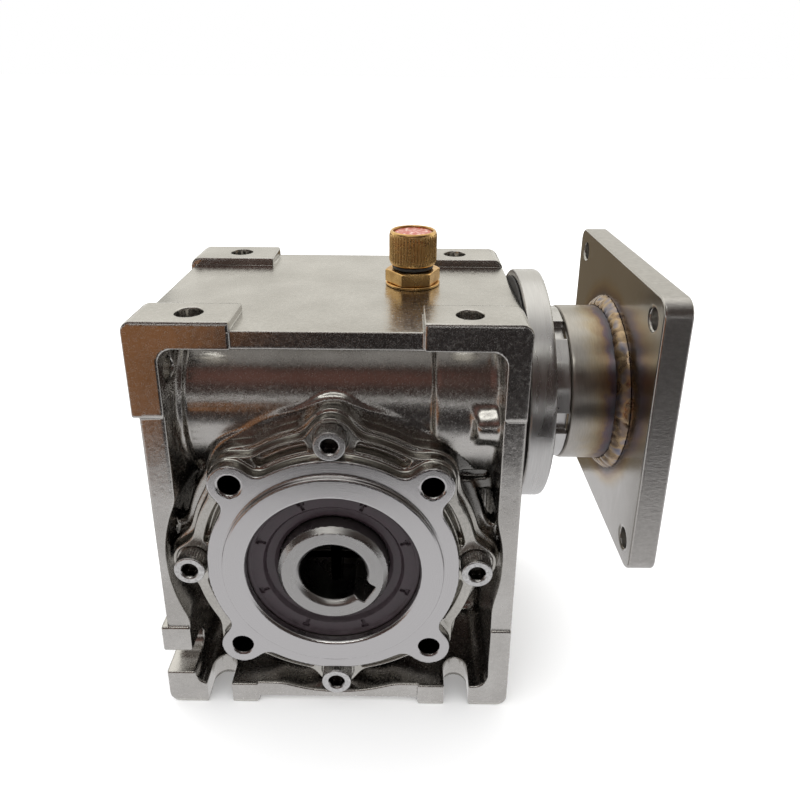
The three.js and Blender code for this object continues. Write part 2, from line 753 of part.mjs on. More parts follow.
// The thread: a right-handed helix of a trapezium section that sinks into the core at both ends.
function wormThread(coreR) {
  const pitch = Math.PI * MODULE;
  const tipR = WORM_PITCH_R + MODULE;
  const steps = WORM_TURNS * WORM_STEPS_PER_TURN;
  const taper = WORM_STEPS_PER_TURN / 4;
  const slope = Math.tan(PRESSURE_ANGLE);
  const buried = coreR - THREAD_BURIED;
  const sunk = buried + THREAD_BURIED / 2;
  const positions = [];
  const index = [];
  for (let i = 0; i <= steps; i++) {
    const phase = (i / steps - 0.5) * WORM_TURNS * 2 * Math.PI;
    const along = (phase / (2 * Math.PI)) * pitch;
    const height = Math.min(1, Math.min(i, steps - i) / taper);
    const top = sunk + (tipR - sunk) * height;
    const section = [
      [buried, pitch / 4 + (WORM_PITCH_R - buried) * slope],
      [top, pitch / 4 - (top - WORM_PITCH_R) * slope],
      [top, -pitch / 4 + (top - WORM_PITCH_R) * slope],
      [buried, -pitch / 4 - (WORM_PITCH_R - buried) * slope],
    ];
    const angle = phase - Math.PI / 2;
    for (const [radius, offset] of section) {
      positions.push(along + offset, radius * Math.cos(angle), radius * Math.sin(angle));
    }
  }
  for (let i = 0; i < steps; i++) {
    for (let k = 0; k < 4; k++) {
      const a = i * 4 + k;
      const b = i * 4 + ((k + 1) % 4);
      index.push(a, b, b + 4, a, b + 4, a + 4);
    }
  }
  const last = steps * 4;
  index.push(0, 2, 1, 0, 3, 2, last, last + 1, last + 2, last, last + 2, last + 3);
  const geometry = new THREE.BufferGeometry();
  geometry.setAttribute('position', new THREE.Float32BufferAttribute(positions, 3));
  geometry.setIndex(index);
  geometry.translate(0, 0, WORM_Z);
  return solid(geometry);
}

const INPUT_BORE = { radius: 7, start: 22, keyWidth: 5, keyTop: 9.3 };
const WORM_END = 49.6;
const WORM_SHOULDER = 1.5;
const WORM_CONE = 2;
const THREAD_END = 22;

function wormShaft() {
  const coreR = WORM_PITCH_R - WORM_DEDENDUM * MODULE;
  const journalR = WORM_BEARING.inner;
  const bearingFrom = WORM_BEARING.middle - WORM_BEARING.width / 2 - FACE_GAP;
  const leftEnd = -WORM_BEARING.middle - WORM_BEARING.width / 2;
  const shoulderR = journalR + WORM_SHOULDER;
  const profile = [
    [0, leftEnd],
    [journalR - 1, leftEnd],
    [journalR, leftEnd + 1],
    [journalR, -bearingFrom],
    [shoulderR, -bearingFrom],
    [shoulderR, -THREAD_END - WORM_CONE],
    [coreR, -THREAD_END],
    [coreR, THREAD_END],
    [shoulderR, THREAD_END + WORM_CONE],
    [shoulderR, bearingFrom],
    [journalR, bearingFrom],
    [journalR, WORM_END - 1],
    [journalR - 1, WORM_END],
    [0, WORM_END],
  ];
  const keyway = box(
    [INPUT_BORE.start, WORM_END + CUT],
    [-INPUT_BORE.keyWidth / 2, INPUT_BORE.keyWidth / 2],
    [WORM_Z, WORM_Z + INPUT_BORE.keyTop],
  );
  return cut(turned('x', profile, ON_WORM, MEDIUM).add(wormThread(coreR)), [
    rod('x', INPUT_BORE.radius, INPUT_BORE.start, WORM_END + CUT, ON_WORM, MEDIUM),
    keyway,
  ]);
}

part('worm_shaft', wormShaft(), MACHINED_STEEL);

// ---------------------------------------------------------------- worm bore closures

// An internal circlip: a ring with a gap at the bottom and an eye at each side of the gap.
function circlip(from) {
  const to = from + CIRCLIP_WIDTH;
  const ear = CIRCLIP_EAR;
  const earZ = WORM_Z - CIRCLIP_R + ear.below;
  const places = [-ear.y, ear.y].map((y) => [0, y, earZ]);
  const ears = places.map((place) => rod('x', ear.radius, from, to, place, SMALL));
  const holes = places.map((place) => rod('x', ear.hole, from - CUT, to + CUT, place, SMALL));
  const gap = [ear.radius - ear.y, ear.y - ear.radius];
  const opening = box([from - CUT, to + CUT], gap, [WORM_Z - CIRCLIP_R - CUT, WORM_Z]);
  const hoop = ring('x', WORM_SEAT_R - CIRCLIP_DEPTH, CIRCLIP_R, from, to, ON_WORM, MEDIUM);
  return cut(join([hoop, ...ears]), [opening, ...holes]);
}

part('worm_circlip_end', circlip(-CIRCLIP_START - CIRCLIP_WIDTH), BEARING_STEEL);
part('worm_circlip_input', circlip(CIRCLIP_START), BEARING_STEEL);

const CAP_FACE = LEFT_RELIEF - HALF_WIDTH + END_CAP.inset;
const CAP_BACK = LEFT_RELIEF - HALF_WIDTH + END_CAP.width;
const END_CAP_PROFILE = [
  [0, CAP_FACE + END_CAP.dish],
  [WORM_SEAT_R - END_CAP.rim - END_CAP.bevel, CAP_FACE + END_CAP.dish],
  [WORM_SEAT_R - END_CAP.rim, CAP_FACE],
  [WORM_SEAT_R - END_CAP.bevel, CAP_FACE],
  [WORM_SEAT_R, CAP_FACE + END_CAP.bevel],
  [WORM_SEAT_R, CAP_BACK],
  [0, CAP_BACK],
];
part('worm_end_cap', turned('x', END_CAP_PROFILE, ON_WORM, MEDIUM), BLACK_RUBBER);

const INPUT_SEAL_X = [CIRCLIP_START + CIRCLIP_WIDTH + GROOVE_PLAY + GAP, HALF_WIDTH - GAP];
const inputSeal = lipSeal(
  'x',
  WORM_SEAT_R,
  WORM_BEARING.inner + GAP,
  INPUT_SEAL_X[0],
  INPUT_SEAL_X[1],
  ON_WORM,
);
part('input_seal', inputSeal, SEAL_RUBBER);

// ---------------------------------------------------------------- input flange, tube and plate

function flangeScrewHole([y, z]) {
  return rod('x', SCREW_HOLE_R, FLANGE_HOLE_START, FLANGE_X[1], [0, y, WORM_Z + z], SMALL);
}

const gasketHoop = ring('x', GASKET_BORE_R, GASKET_R, ...GASKET_X, ON_WORM, LARGE);
part('flange_gasket', cut(gasketHoop, FLANGE_SCREWS.map(flangeScrewHole)), GASKET_FIBRE);

const FLANGE_BORE_R = 14;
const HEAD_FLOOR = FLANGE_X[1] - SCREW.height - GAP - FACE_GAP;

function inputFlange() {
  const edge = FLANGE_EDGE;
  const profile = [
    [FLANGE_BORE_R, FLANGE_X[0]],
    [FLANGE_R - edge * 0.4, FLANGE_X[0]],
    [FLANGE_R, FLANGE_X[0] + edge * 0.4],
    [FLANGE_R, FLANGE_X[1] - edge],
    [FLANGE_R - edge * 0.3, FLANGE_X[1] - edge * 0.3],
    [FLANGE_R - edge, FLANGE_X[1]],
    [FLANGE_BORE_R, FLANGE_X[1]],
    [FLANGE_BORE_R, FLANGE_X[0]],
  ];
  const headRoom = ([y, z]) =>
    rod('x', SCREW.head + GAP, HEAD_FLOOR, FLANGE_X[1] + CUT, [0, y, WORM_Z + z], HEAD);
  return cut(turned('x', profile, ON_WORM, LARGE), [
    ...FLANGE_SCREWS.map(flangeScrewHole),
    ...FLANGE_SCREWS.map(headRoom),
  ]);
}

part('input_flange_ring', inputFlange(), MACHINED_STEEL);

FLANGE_SCREWS.forEach(([y, z], i) => {
  const top = HEAD_FLOOR + FACE_GAP + SCREW.height;
  const screw = socketScrew('x', top, FLANGE_SCREW_LENGTH, 1, [0, y, WORM_Z + z]);
  part(`flange_screw_${i + 1}`, screw, MACHINED_STEEL);
});

function tubeCollar() {
  const slots = [];
  const slot = box(
    [COLLAR_X[0] - CUT, COLLAR_X[1] + CUT],
    [TUBE_R - COLLAR_SLOT.depth, TUBE_R + CUT],
    [-COLLAR_SLOT.half, COLLAR_SLOT.half],
  );
  for (let i = 0; i < COLLAR_SLOTS; i++) {
    const angle = Math.PI - COLLAR_FIRST_SLOT + (2 * Math.PI * i) / COLLAR_SLOTS;
    slots.push(slot.rotate([THREE.MathUtils.radToDeg(angle), 0, 0]).translate(ON_WORM));
  }
  return cut(ring('x', COLLAR_BORE_R, TUBE_R, ...COLLAR_X, ON_WORM, MEDIUM), slots);
}

part('tube_collar', tubeCollar(), MACHINED_STEEL);
part('motor_tube', ring('x', TUBE_R - TUBE_WALL, TUBE_R, ...TUBE_X, ON_WORM, MEDIUM), MACHINED_STEEL);

// The weld: a fillet with a slightly domed face, in the corner of the tube and the plate.
const weldRoot = TUBE_R + GAP;
const weldFace = PLATE_X[0] - FACE_GAP;
const WELD_PROFILE = [
  [weldRoot, weldFace],
  [weldRoot, weldFace - WELD_LEG],
  [weldRoot + WELD_LEG * 0.35, weldFace - WELD_LEG * 0.85],
  [weldRoot + WELD_LEG * 0.7, weldFace - WELD_LEG * 0.6],
  [weldRoot + WELD_LEG * 0.95, weldFace - WELD_LEG * 0.25],
  [weldRoot + WELD_LEG, weldFace],
  [weldRoot, weldFace],
];
part('weld_bead', turned('x', WELD_PROFILE, ON_WORM, MEDIUM), WELD_STEEL);

function motorPlate() {
  const half = PLATE_SIDE / 2;
  const outline = roundedRectangle(-half, half, WORM_Z - half, WORM_Z + half, PLATE_RADIUS);
  const holes = [-PLATE_HOLE, PLATE_HOLE].flatMap((y) =>
    [-PLATE_HOLE, PLATE_HOLE].map((z) =>
      rod('x', PLATE_HOLE_R, PLATE_X[0] - CUT, PLATE_X[1] + CUT, [0, y, WORM_Z + z], HEAD),
    ),
  );
  return cut(slabYZ(outline, PLATE_X), [
    ...holes,
    rod('x', TUBE_R - TUBE_WALL, PLATE_X[0] - CUT, PLATE_X[1], ON_WORM, MEDIUM),
    rod('x', PILOT_R, PILOT_FLOOR, PLATE_X[1] + CUT, ON_WORM, LARGE),
  ]);
}

part('motor_plate', motorPlate(), MACHINED_STEEL);

// ---------------------------------------------------------------- breather

const washerTop = VENT_Z.hex - FACE_GAP;
const ventWasher = upright(VENT_THREAD_R + GAP, WASHER_R, VENT_Z.washer, washerTop, BREATHER);
part('vent_washer', ventWasher, BRASS);

function ventBase() {
  const hexagon = new THREE.ExtrudeGeometry(polygon(6, HEX_ACROSS_FLATS, HEX_TURN), {
    depth: VENT_Z.ring - VENT_Z.hex - FACE_GAP,
    bevelEnabled: false,
  });
  hexagon.translate(VENT_X, VENT_Y, VENT_Z.hex);
  return join([
    solid(hexagon),
    upright(0, VENT_THREAD_R, VENT_THREAD_END, VENT_Z.hex + CUT, BREATHER),
    upright(0, VENT_NECK.radius, VENT_Z.ring - CUT, VENT_NECK.top, BREATHER),
  ]).subtract(upright(0, VENT_NECK.bore, VENT_THREAD_END - CUT, VENT_NECK.top + CUT, SMALL));
}

part('vent_base', ventBase(), BRASS);
const ventRingTop = VENT_Z.cap - FACE_GAP;
const ventRing = upright(VENT_RING.inner, VENT_RING.outer, VENT_Z.ring, ventRingTop, BREATHER);
part('vent_o_ring', ventRing, BLACK_RUBBER);

function ventCap() {
  const ridges = CAP_RIDGES.count;
  const points = [];
  for (let i = 0; i < 2 * ridges; i++) {
    const radius = i % 2 ? CAP_R : CAP_R - CAP_RIDGES.depth;
    const angle = (Math.PI * i) / ridges;
    points.push(new THREE.Vector2(radius * Math.cos(angle), radius * Math.sin(angle)));
  }
  const geometry = new THREE.ExtrudeGeometry(new THREE.Shape(points), {
    depth: VENT_Z.top - VENT_Z.cap,
    bevelEnabled: false,
  });
  geometry.translate(VENT_X, VENT_Y, VENT_Z.cap);
  return cut(solid(geometry), [
    upright(0, VENT_NECK.radius + GAP, VENT_Z.cap - CUT, VENT_NECK.roof, BREATHER),
    upright(0, CAP_RECESS.radius, CAP_RECESS.floor, VENT_Z.top + CUT, BREATHER),
  ]);
}

part('vent_cap', ventCap(), BRASS);
const discZ = CAP_RECESS.floor + FACE_GAP;
const ventDisc = upright(0, CAP_RECESS.radius - GAP, discZ, discZ + CAP_RECESS.disc, BREATHER);
part('vent_disc', ventDisc, VENT_RED);

// ---------------------------------------------------------------- floor origin

group.position.set(-(PLATE_X[1] - HALF_WIDTH) / 2, 0, -BOTTOM);

export default group;
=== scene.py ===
"""Looks of the worm gearbox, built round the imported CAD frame.

Shapes are drawn in millimetres round the output axis: X runs along the worm towards the motor
plate, Y along the output shaft with the cover on the -Y side, and Z up. Each visible piece is a
distance field, negative inside, which mesh_field() turns into a mesh with crisp edges.
"""
import json
import math

import bpy
import numpy as np
from mathutils import Matrix, Vector


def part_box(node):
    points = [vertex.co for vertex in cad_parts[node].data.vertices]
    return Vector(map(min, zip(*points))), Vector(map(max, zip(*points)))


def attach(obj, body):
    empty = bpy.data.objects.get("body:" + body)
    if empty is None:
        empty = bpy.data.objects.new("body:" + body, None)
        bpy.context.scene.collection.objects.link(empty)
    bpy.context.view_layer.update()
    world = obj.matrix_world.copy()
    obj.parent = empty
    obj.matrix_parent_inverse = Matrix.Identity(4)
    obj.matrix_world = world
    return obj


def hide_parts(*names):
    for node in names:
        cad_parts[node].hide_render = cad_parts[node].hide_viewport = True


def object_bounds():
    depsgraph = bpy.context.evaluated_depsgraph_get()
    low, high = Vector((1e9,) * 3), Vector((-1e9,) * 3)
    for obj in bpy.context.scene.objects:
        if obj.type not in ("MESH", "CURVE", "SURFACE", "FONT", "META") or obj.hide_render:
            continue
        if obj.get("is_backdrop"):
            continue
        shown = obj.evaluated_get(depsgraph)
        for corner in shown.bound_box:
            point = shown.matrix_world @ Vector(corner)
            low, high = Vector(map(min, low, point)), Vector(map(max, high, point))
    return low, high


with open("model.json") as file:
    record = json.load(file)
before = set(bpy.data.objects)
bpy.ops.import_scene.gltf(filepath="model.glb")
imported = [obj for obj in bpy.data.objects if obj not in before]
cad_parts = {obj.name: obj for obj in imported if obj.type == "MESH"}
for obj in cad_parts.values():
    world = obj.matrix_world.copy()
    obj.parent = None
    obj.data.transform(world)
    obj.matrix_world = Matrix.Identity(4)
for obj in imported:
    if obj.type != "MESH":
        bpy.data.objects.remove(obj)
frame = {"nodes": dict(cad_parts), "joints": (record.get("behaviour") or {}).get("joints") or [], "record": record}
CAD_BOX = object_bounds()

# ---- places from the frame

JOINTS = {joint["name"]: joint for joint in frame["joints"]}
MM = 1000
ORIGIN = np.array(JOINTS["output_spin"]["pos_m"]) * MM
WORM_Z = JOINTS["worm_spin"]["pos_m"][2] * MM - ORIGIN[2]
VENT_X, VENT_Y = (np.array(JOINTS["breather_cap_turn"]["pos_m"]) * MM - ORIGIN)[:2]


def span(node):
    """The lowest and highest corner of a CAD node, in millimetres round the output axis."""
    low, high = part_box(node)
    return np.array(low) * MM - ORIGIN, np.array(high) * MM - ORIGIN


# ---- distance fields


def smooth_min(k, first, *others):
    """Joins fields with a fillet about k wide."""
    result = first
    for other in others:
        blend = np.maximum(k - np.abs(result - other), 0)
        result = np.minimum(result, other) - blend * blend / (4 * k)
    return result


def smooth_max(k, first, *others):
    """Keeps what all the fields share, with its edges rounded about k wide."""
    return -smooth_min(k, -first, *[-other for other in others])


def cut(k, body, *cutters):
    return smooth_max(k, body, *[-cutter for cutter in cutters])


def between(value, low, high):
    return np.abs(value - (low + high) / 2) - (high - low) / 2


def box(p, x, y, z, radius=0.0):
    """A box between the given limits, with round edges."""
    q = [between(value, *limits) + radius for value, limits in zip(p, (x, y, z))]
    outside = np.sqrt(sum(np.maximum(value, 0) ** 2 for value in q))
    inside = np.minimum(np.maximum(np.maximum(q[0], q[1]), q[2]), 0)
    return outside + inside - radius


def rounded_rectangle(u, v, u_limits, v_limits, radius):
    a = between(u, *u_limits) + radius
    b = between(v, *v_limits) + radius
    outside = np.sqrt(np.maximum(a, 0) ** 2 + np.maximum(b, 0) ** 2)
    return outside + np.minimum(np.maximum(a, b), 0) - radius


def from_axis(p, axis, centre=(0, 0, 0)):
    """Distance from a line along the axis through centre."""
    q = [value - offset for value, offset in zip(p, centre)]
    del q["xyz".index(axis)]
    return np.sqrt(q[0] ** 2 + q[1] ** 2)


def rod(p, axis, radius, low, high, centre=(0, 0, 0), edge=0.3):
    """A cylinder along an axis, with edges rounded about edge wide."""
    along = p["xyz".index(axis)]
    return smooth_max(edge, from_axis(p, axis, centre) - radius, between(along, low, high))


def stadium(u, v, centre, half_length, radius):
    """A slot outline with round ends, long in u."""
    du = np.maximum(np.abs(u - centre[0]) - half_length, 0)
    return np.sqrt(du**2 + (v - centre[1]) ** 2) - radius


# ---- from field to mesh

CORNERS = [(i, j, k) for i in (0, 1) for j in (0, 1) for k in (0, 1)]
EDGES = [(a, b) for a in range(8) for b in range(8) if a < b and bin(a ^ b).count("1") == 1]
SLOPE = 0.02  # the step used to measure a field's slope, mm
PULL = 0.1  # how strongly a vertex is drawn to the middle of its cell's crossings
GRID_MARGIN = 1.37  # cells outside a piece's box, an odd share so that flat faces miss the grid


def slope(field, points):
    """A field's unit slope at each point."""
    here = field(points.T)
    steps = []
    for axis in range(3):
        moved = points.copy()
        moved[:, axis] += SLOPE
        steps.append(field(moved.T) - here)
    normal = np.stack(steps, axis=1)
    return normal / np.maximum(np.linalg.norm(normal, axis=1, keepdims=True), 1e-9)


def sample(field, low, shape, step):
    """The field's values on a grid, worked out in slabs to save memory."""
    axes = [low[i] + step * np.arange(shape[i]) for i in range(3)]
    values = np.empty(shape, np.float32)
    for start in range(0, shape[0], 8):
        x = axes[0][start:start + 8].astype(np.float32)[:, None, None]
        y = axes[1].astype(np.float32)[None, :, None]
        z = axes[2].astype(np.float32)[None, None, :]
        whole = np.broadcast_arrays(x, y, z)
        values[start:start + 8] = field([np.ascontiguousarray(axis) for axis in whole])
    return values


def crossings(values, cells, low, step):
    """Where the surface crosses each cell's edges: the cells' numbers, and the points."""
    corner_values = np.stack(
        [values[cells[:, 0] + i, cells[:, 1] + j, cells[:, 2] + k] for i, j, k in CORNERS], axis=1
    )
    owners, points = [], []
    for a, b in EDGES:
        va, vb = corner_values[:, a], corner_values[:, b]
        crossed = np.nonzero((va < 0) != (vb < 0))[0]
        t = (va[crossed] / (va[crossed] - vb[crossed]))[:, None]
        start, end = np.array(CORNERS[a]), np.array(CORNERS[b])
        points.append(low + step * (cells[crossed] + start + t * (end - start)))
        owners.append(crossed)
    return np.concatenate(owners), np.concatenate(points)


def sharp_vertices(field, owners, points, cells, low, step):
    """One vertex in each cell, where the surface's tangent planes in it meet best."""
    normals = slope(field, points)

    def total(amounts):
        """The sum over each cell's own crossings."""
        return np.bincount(owners, amounts, len(cells))

    number = np.bincount(owners, minlength=len(cells))
    middle = np.stack([total(points[:, i]) for i in range(3)], axis=1) / number[:, None]
    offset = np.einsum("ij,ij->i", normals, points - middle[owners])
    vector = np.stack([total(normals[:, i] * offset) for i in range(3)], axis=1)
    matrix = np.empty((len(cells), 3, 3))
    for i, j in np.ndindex(3, 3):
        matrix[:, i, j] = total(normals[:, i] * normals[:, j])
    matrix += PULL * np.eye(3)
    shift = np.linalg.solve(matrix, vector[:, :, None])[:, :, 0]
    corner = low + step * cells
    return np.clip(middle + shift, corner, corner + step)


def quads_across(inside, index, axis):
    """Quads round each grid edge along the axis that the surface crosses."""
    u, v = (axis + 1) % 3, (axis + 2) % 3
    first, second = [slice(None)] * 3, [slice(None)] * 3
    first[axis], second[axis] = slice(0, -1), slice(1, None)
    crossed = inside[tuple(first)] != inside[tuple(second)]
    places = np.argwhere(crossed)
    enters = inside[tuple(first)][crossed]
    around = []
    for du, dv in ((0, 0), (1, 0), (1, 1), (0, 1)):
        cell = places.copy()
        cell[:, u] -= du
        cell[:, v] -= dv
        around.append(index[tuple(cell.T)])
    quad = np.stack(around, axis=1)
    quad[~enters] = quad[~enters][:, ::-1]
    return quad


def contour(field, low, high, step):
    """Vertices and quads of the surface where the field is zero, one vertex in each cell."""
    low = np.array(low, float) - GRID_MARGIN * step
    shape = tuple(int(n) for n in np.ceil((np.array(high) - low) / step) + 3)
    values = sample(field, low, shape, step)
    inside = values < 0
    count = np.zeros(tuple(n - 1 for n in shape), np.int8)
    for i, j, k in CORNERS:
        count += inside[i:shape[0] - 1 + i, j:shape[1] - 1 + j, k:shape[2] - 1 + k]
    cells = np.argwhere((count > 0) & (count < 8))
    index = np.full(count.shape, -1, np.int64)
    index[tuple(cells.T)] = np.arange(len(cells))
    owners, points = crossings(values, cells, low, step)
    vertices = sharp_vertices(field, owners, points, cells, low, step)
    return vertices, np.concatenate([quads_across(inside, index, axis) for axis in range(3)])


def add(name, data):
    """Puts an object that holds the data into the scene."""
    made = bpy.data.objects.new(name, data)
    bpy.context.scene.collection.objects.link(made)
    return made


def new_mesh(name, vertices, faces):
    """A mesh object from vertices in local millimetres and equal-sided faces."""
    mesh = bpy.data.meshes.new(name)
    sides = faces.shape[1]
    mesh.vertices.add(len(vertices))
    mesh.vertices.foreach_set("co", ((vertices + ORIGIN) / MM).astype(np.float32).ravel())
    mesh.loops.add(faces.size)
    mesh.loops.foreach_set("vertex_index", faces.astype(np.int32).ravel())
    mesh.polygons.add(len(faces))
    mesh.polygons.foreach_set("loop_start", np.arange(0, faces.size, sides, dtype=np.int32))
    mesh.update(calc_edges=True)
    mesh.validate()
    return add(name, mesh)


def thin_out(piece, faces):
    """Collapses edges until the piece has about the given number of triangles."""
    present = len(piece.data.polygons) * 2
    if present <= faces:
        return
    modifier = piece.modifiers.new("thin", "DECIMATE")
    modifier.ratio = faces / present
    bpy.context.view_layer.update()
    graph = bpy.context.evaluated_depsgraph_get()
    mesh = bpy.data.meshes.new_from_object(piece.evaluated_get(graph))
    piece.modifiers.clear()
    old = piece.data
    piece.data = mesh
    mesh.name = piece.name
    bpy.data.meshes.remove(old)


def mesh_field(name, field, low, high, step, faces):
    """A smooth-shaded object of a field, with normals from the field itself."""
    vertices, quads = contour(field, low, high, step)
    piece = new_mesh(name, vertices, quads)
    thin_out(piece, faces)
    mesh = piece.data
    co = np.empty(len(mesh.vertices) * 3, np.float32)
    mesh.vertices.foreach_get("co", co)
    kept = np.clip(co.reshape(-1, 3), *CAD_BOX)
    mesh.vertices.foreach_set("co", kept.astype(np.float32).ravel())
    normals = slope(field, kept * MM - ORIGIN)
    mesh.shade_smooth()
    mesh.normals_split_custom_set_from_vertices(normals.tolist())
    return piece


# ---- sizes shared by the castings

HOUSING_LOW, HOUSING_HIGH = span("housing")
LEFT, RIGHT = HOUSING_LOW[0], HOUSING_HIGH[0]
DEPTH = 35.5
BOTTOM, TOP = HOUSING_LOW[2], HOUSING_HIGH[2]
LEFT_WALL, RIGHT_WALL, TOP_WALL, BOTTOM_WALL = 8.3, 6.0, 7.5, 7.0
WEB = 5.0
PAD_X, PAD_Y, PAD_UPPER, PAD_LOWER = 23.5, 21.5, 45.0, -22.0
TOP_RELIEF, FOOT_RELIEF, LEFT_RELIEF, FRONT_RELIEF = 2.5, 2.0, 1.8, 0.6
HOLE_X, HOLE_Y, HOLE_R = 35.0, 28.7, 3.5
SIDE_HOLE_Z, SIDE_SLOT_Z, SIDE_SLOT_R, FOOT_SLOT_R = 56.0, -34.6, 4.1, 3.6
CASE_R, CASE_HALF = 43.0, 26.0
BARREL_R, BARREL_END_R, BARREL_LEFT, BARREL_RIGHT = 26.0, 30.0, -39.8, 26.5
BARREL_STEP = 1.6  # how far the barrel's left end stands out
BOSS_R, BOSS_LEFT, BOSS_Y, BOSS_Z = 4.8, 37.2, 28.0, 40.6
BLOCK_Y, BLOCK_Z = 25.0, (17.5, 34)
MARK_X, MARK_Z, MARK_FLOOR = 38.2, 23.4, 24.0

FACE_Y, SPIGOT_Y, SPIGOT_R, FACE_R = 37.0, 38.5, 30.0, 34.3
TERRACE_Y, TERRACE_R = 33.6, 39.3
BASE_Y, BASE_R = 30.4, 40.9
ROOM_R = 46.0  # the housing is clear of the cover inside this radius
LUG_RADIUS, LUG_R, LUG_HOLE_R = 37.5, 5.8, 2.9
BEARING_R, BEARING_Y, SEAL_SEAT_Y = 27.8, 31.2, 31.0
CHAMBER_R, CHAMBER_Y = 34.5, 16.5
WORM_SEAT_R, WORM_SEAT_X, WORM_BORE = 23.7, 28.5, 15.0
CLIP_R, CLIP_X = 25.0, (41.0, 43.0)
VENT_SEAT_R, VENT_SEAT_Z, VENT_HOLE_R = 6.8, 60, 4
SCREW_HEAD_R, SCREW_HEAD, SCREW_SHANK_R, SCREW_HOLE_R = 4.25, 4.8, 2.5, 2.8
SCREW_RADIUS = span("cover_screw_1")[1][0] - SCREW_HEAD_R
SEAL_R = span("output_seal_front")[1][0]


def ring_of(radius, first_angle):
    """Four places at right angles round the output axis, as (x, z)."""
    angles = [math.radians(first_angle + 90 * i) for i in range(4)]
    return [(radius * math.cos(angle), radius * math.sin(angle)) for angle in angles]


LUGS = ring_of(LUG_RADIUS, 45)
SCREWS = ring_of(SCREW_RADIUS, 0)


def nearest(p, places):
    """Distance in X and Z from the nearest of several lines along Y."""
    return np.sqrt(np.minimum.reduce([(p[0] - x) ** 2 + (p[2] - z) ** 2 for x, z in places]))


def layer(p, outline, low, high, edge=0.5):
    """A flat layer of a stepped casting: an outline in X and Z between two depths."""
    return smooth_max(edge, outline, between(p[1], low, high))


def scalloped(radius, lugs, screws, disc, lug, screw, fillet):
    """A disc with a lobe round each lug and each screw."""
    return smooth_min(fillet, radius - disc, lugs - lug, screws - screw)


# ---- output cover


def flange_steps(p, sign, start):
    """The stepped flange that the cover has in front and the housing behind, facing sign * Y."""
    q = [p[0], p[1] * sign, p[2]]
    radius = from_axis(p, "y")
    lugs, screws = nearest(p, LUGS), nearest(p, SCREWS)
    face = layer(q, smooth_min(5.0, radius - FACE_R, lugs - LUG_R), start, FACE_Y, 0.35)
    outline = scalloped(radius, lugs, screws, TERRACE_R, 6.5, 5.8, 4.0)
    terrace = layer(q, outline, start, TERRACE_Y, 0.5)
    wide = np.abs(radius - 37.1) - 1.5
    narrow = np.abs(radius - 35.6) - 0.7
    steep = np.abs(p[2]) - np.abs(p[0])
    groove = np.where(steep > 0, wide, narrow)
    pocket = smooth_max(1.2, groove, 7.9 - lugs, 7.0 - screws)
    terrace = cut(0.5, terrace, smooth_max(1.0, pocket, between(q[1], TERRACE_Y - 4.0, TERRACE_Y + 4)))
    spigot = rod(q, "y", SPIGOT_R, start, SPIGOT_Y, edge=0.6)
    return smooth_min(0.6, smooth_min(1.0, terrace, face), spigot)


def lug_holes(p, sign):
    lugs = nearest(p, LUGS)
    along = p[1] * sign
    hole = smooth_max(0.2, lugs - LUG_HOLE_R, between(along, FACE_Y - 10, FACE_Y + 5))
    countersink = lugs - LUG_HOLE_R - 0.45 + (FACE_Y - along) * 1.0
    return smooth_min(0.1, hole, np.maximum(countersink, between(along, FACE_Y - 2, FACE_Y + 5)))


def output_cover(p):
    radius = from_axis(p, "y")
    lugs, screws = nearest(p, LUGS), nearest(p, SCREWS)
    outline = scalloped(radius, lugs, screws, BASE_R, 7.2, 6.9, 4.0)
    base = layer(p, outline, -BASE_Y, -CASE_HALF - 0.1, 0.6)
    body = smooth_min(0.8, flange_steps(p, -1, CASE_HALF + 0.1), base)
    body = smooth_min(0.1, body, rod(p, "y", 34.2, -CASE_HALF - 1, -20))
    seat = rod(p, "y", SEAL_R + 0.15, -SPIGOT_Y - 5, -SEAL_SEAT_Y, edge=0.1)
    lead_in = radius - SEAL_R - 0.7 + (p[1] + SPIGOT_Y) * 0.8
    lead_in = np.maximum(lead_in, between(p[1], -SPIGOT_Y - 5, -SPIGOT_Y + 2))
    head_room = rod_group(p, SCREWS, 4.75, -SPIGOT_Y - 5, -33.0)
    bearing = rod(p, "y", BEARING_R, -BEARING_Y, -19, edge=0.1)
    return cut(0.25, body, seat, lead_in, bearing, head_room, lug_holes(p, -1))


def rod_group(p, places, radius, low, high):
    return smooth_max(0.2, nearest(p, places) - radius, between(p[1], low, high))


# ---- housing


def pad_reliefs(p):
    """Negative where the housing's faces are cut back between the corner pads."""
    x, y, z = p
    out_x, out_y = np.abs(x) - PAD_X, np.abs(y) - PAD_Y
    cross = np.minimum(out_x, out_y)
    top = np.maximum(cross, TOP - TOP_RELIEF - z)
    bottom = np.maximum(cross, z - BOTTOM - FOOT_RELIEF)
    upright = between(z, PAD_LOWER, PAD_UPPER)
    side = np.maximum(np.minimum(out_y, upright), x - LEFT - LEFT_RELIEF)
    front = np.maximum(np.minimum(out_x, upright), DEPTH - FRONT_RELIEF - np.abs(y))
    return smooth_min(0.3, top, bottom, side, front)


def mounting_holes(p):
    """Holes through the pads, and slots that are open at the edge below."""
    x, y, z = p
    far = np.abs(y) - HOLE_Y
    beyond = np.maximum(-far, 0)
    across = np.abs(np.abs(x) - HOLE_X)
    bolt = np.sqrt(across**2 + far**2)
    top = np.maximum(bolt - HOLE_R, TOP - TOP_WALL - 1 - z)
    foot_slot = np.sqrt(across**2 + beyond**2) - FOOT_SLOT_R
    foot = np.maximum(foot_slot, z - BOTTOM - BOTTOM_WALL - 1)
    wall = x - LEFT - LEFT_WALL - 1
    side_hole = np.maximum(np.sqrt(far**2 + (z - SIDE_HOLE_Z) ** 2) - HOLE_R, wall)
    side_slot = np.sqrt((z - SIDE_SLOT_Z) ** 2 + beyond**2) - SIDE_SLOT_R
    return np.minimum.reduce([top, foot, side_hole, np.maximum(side_slot, wall)])


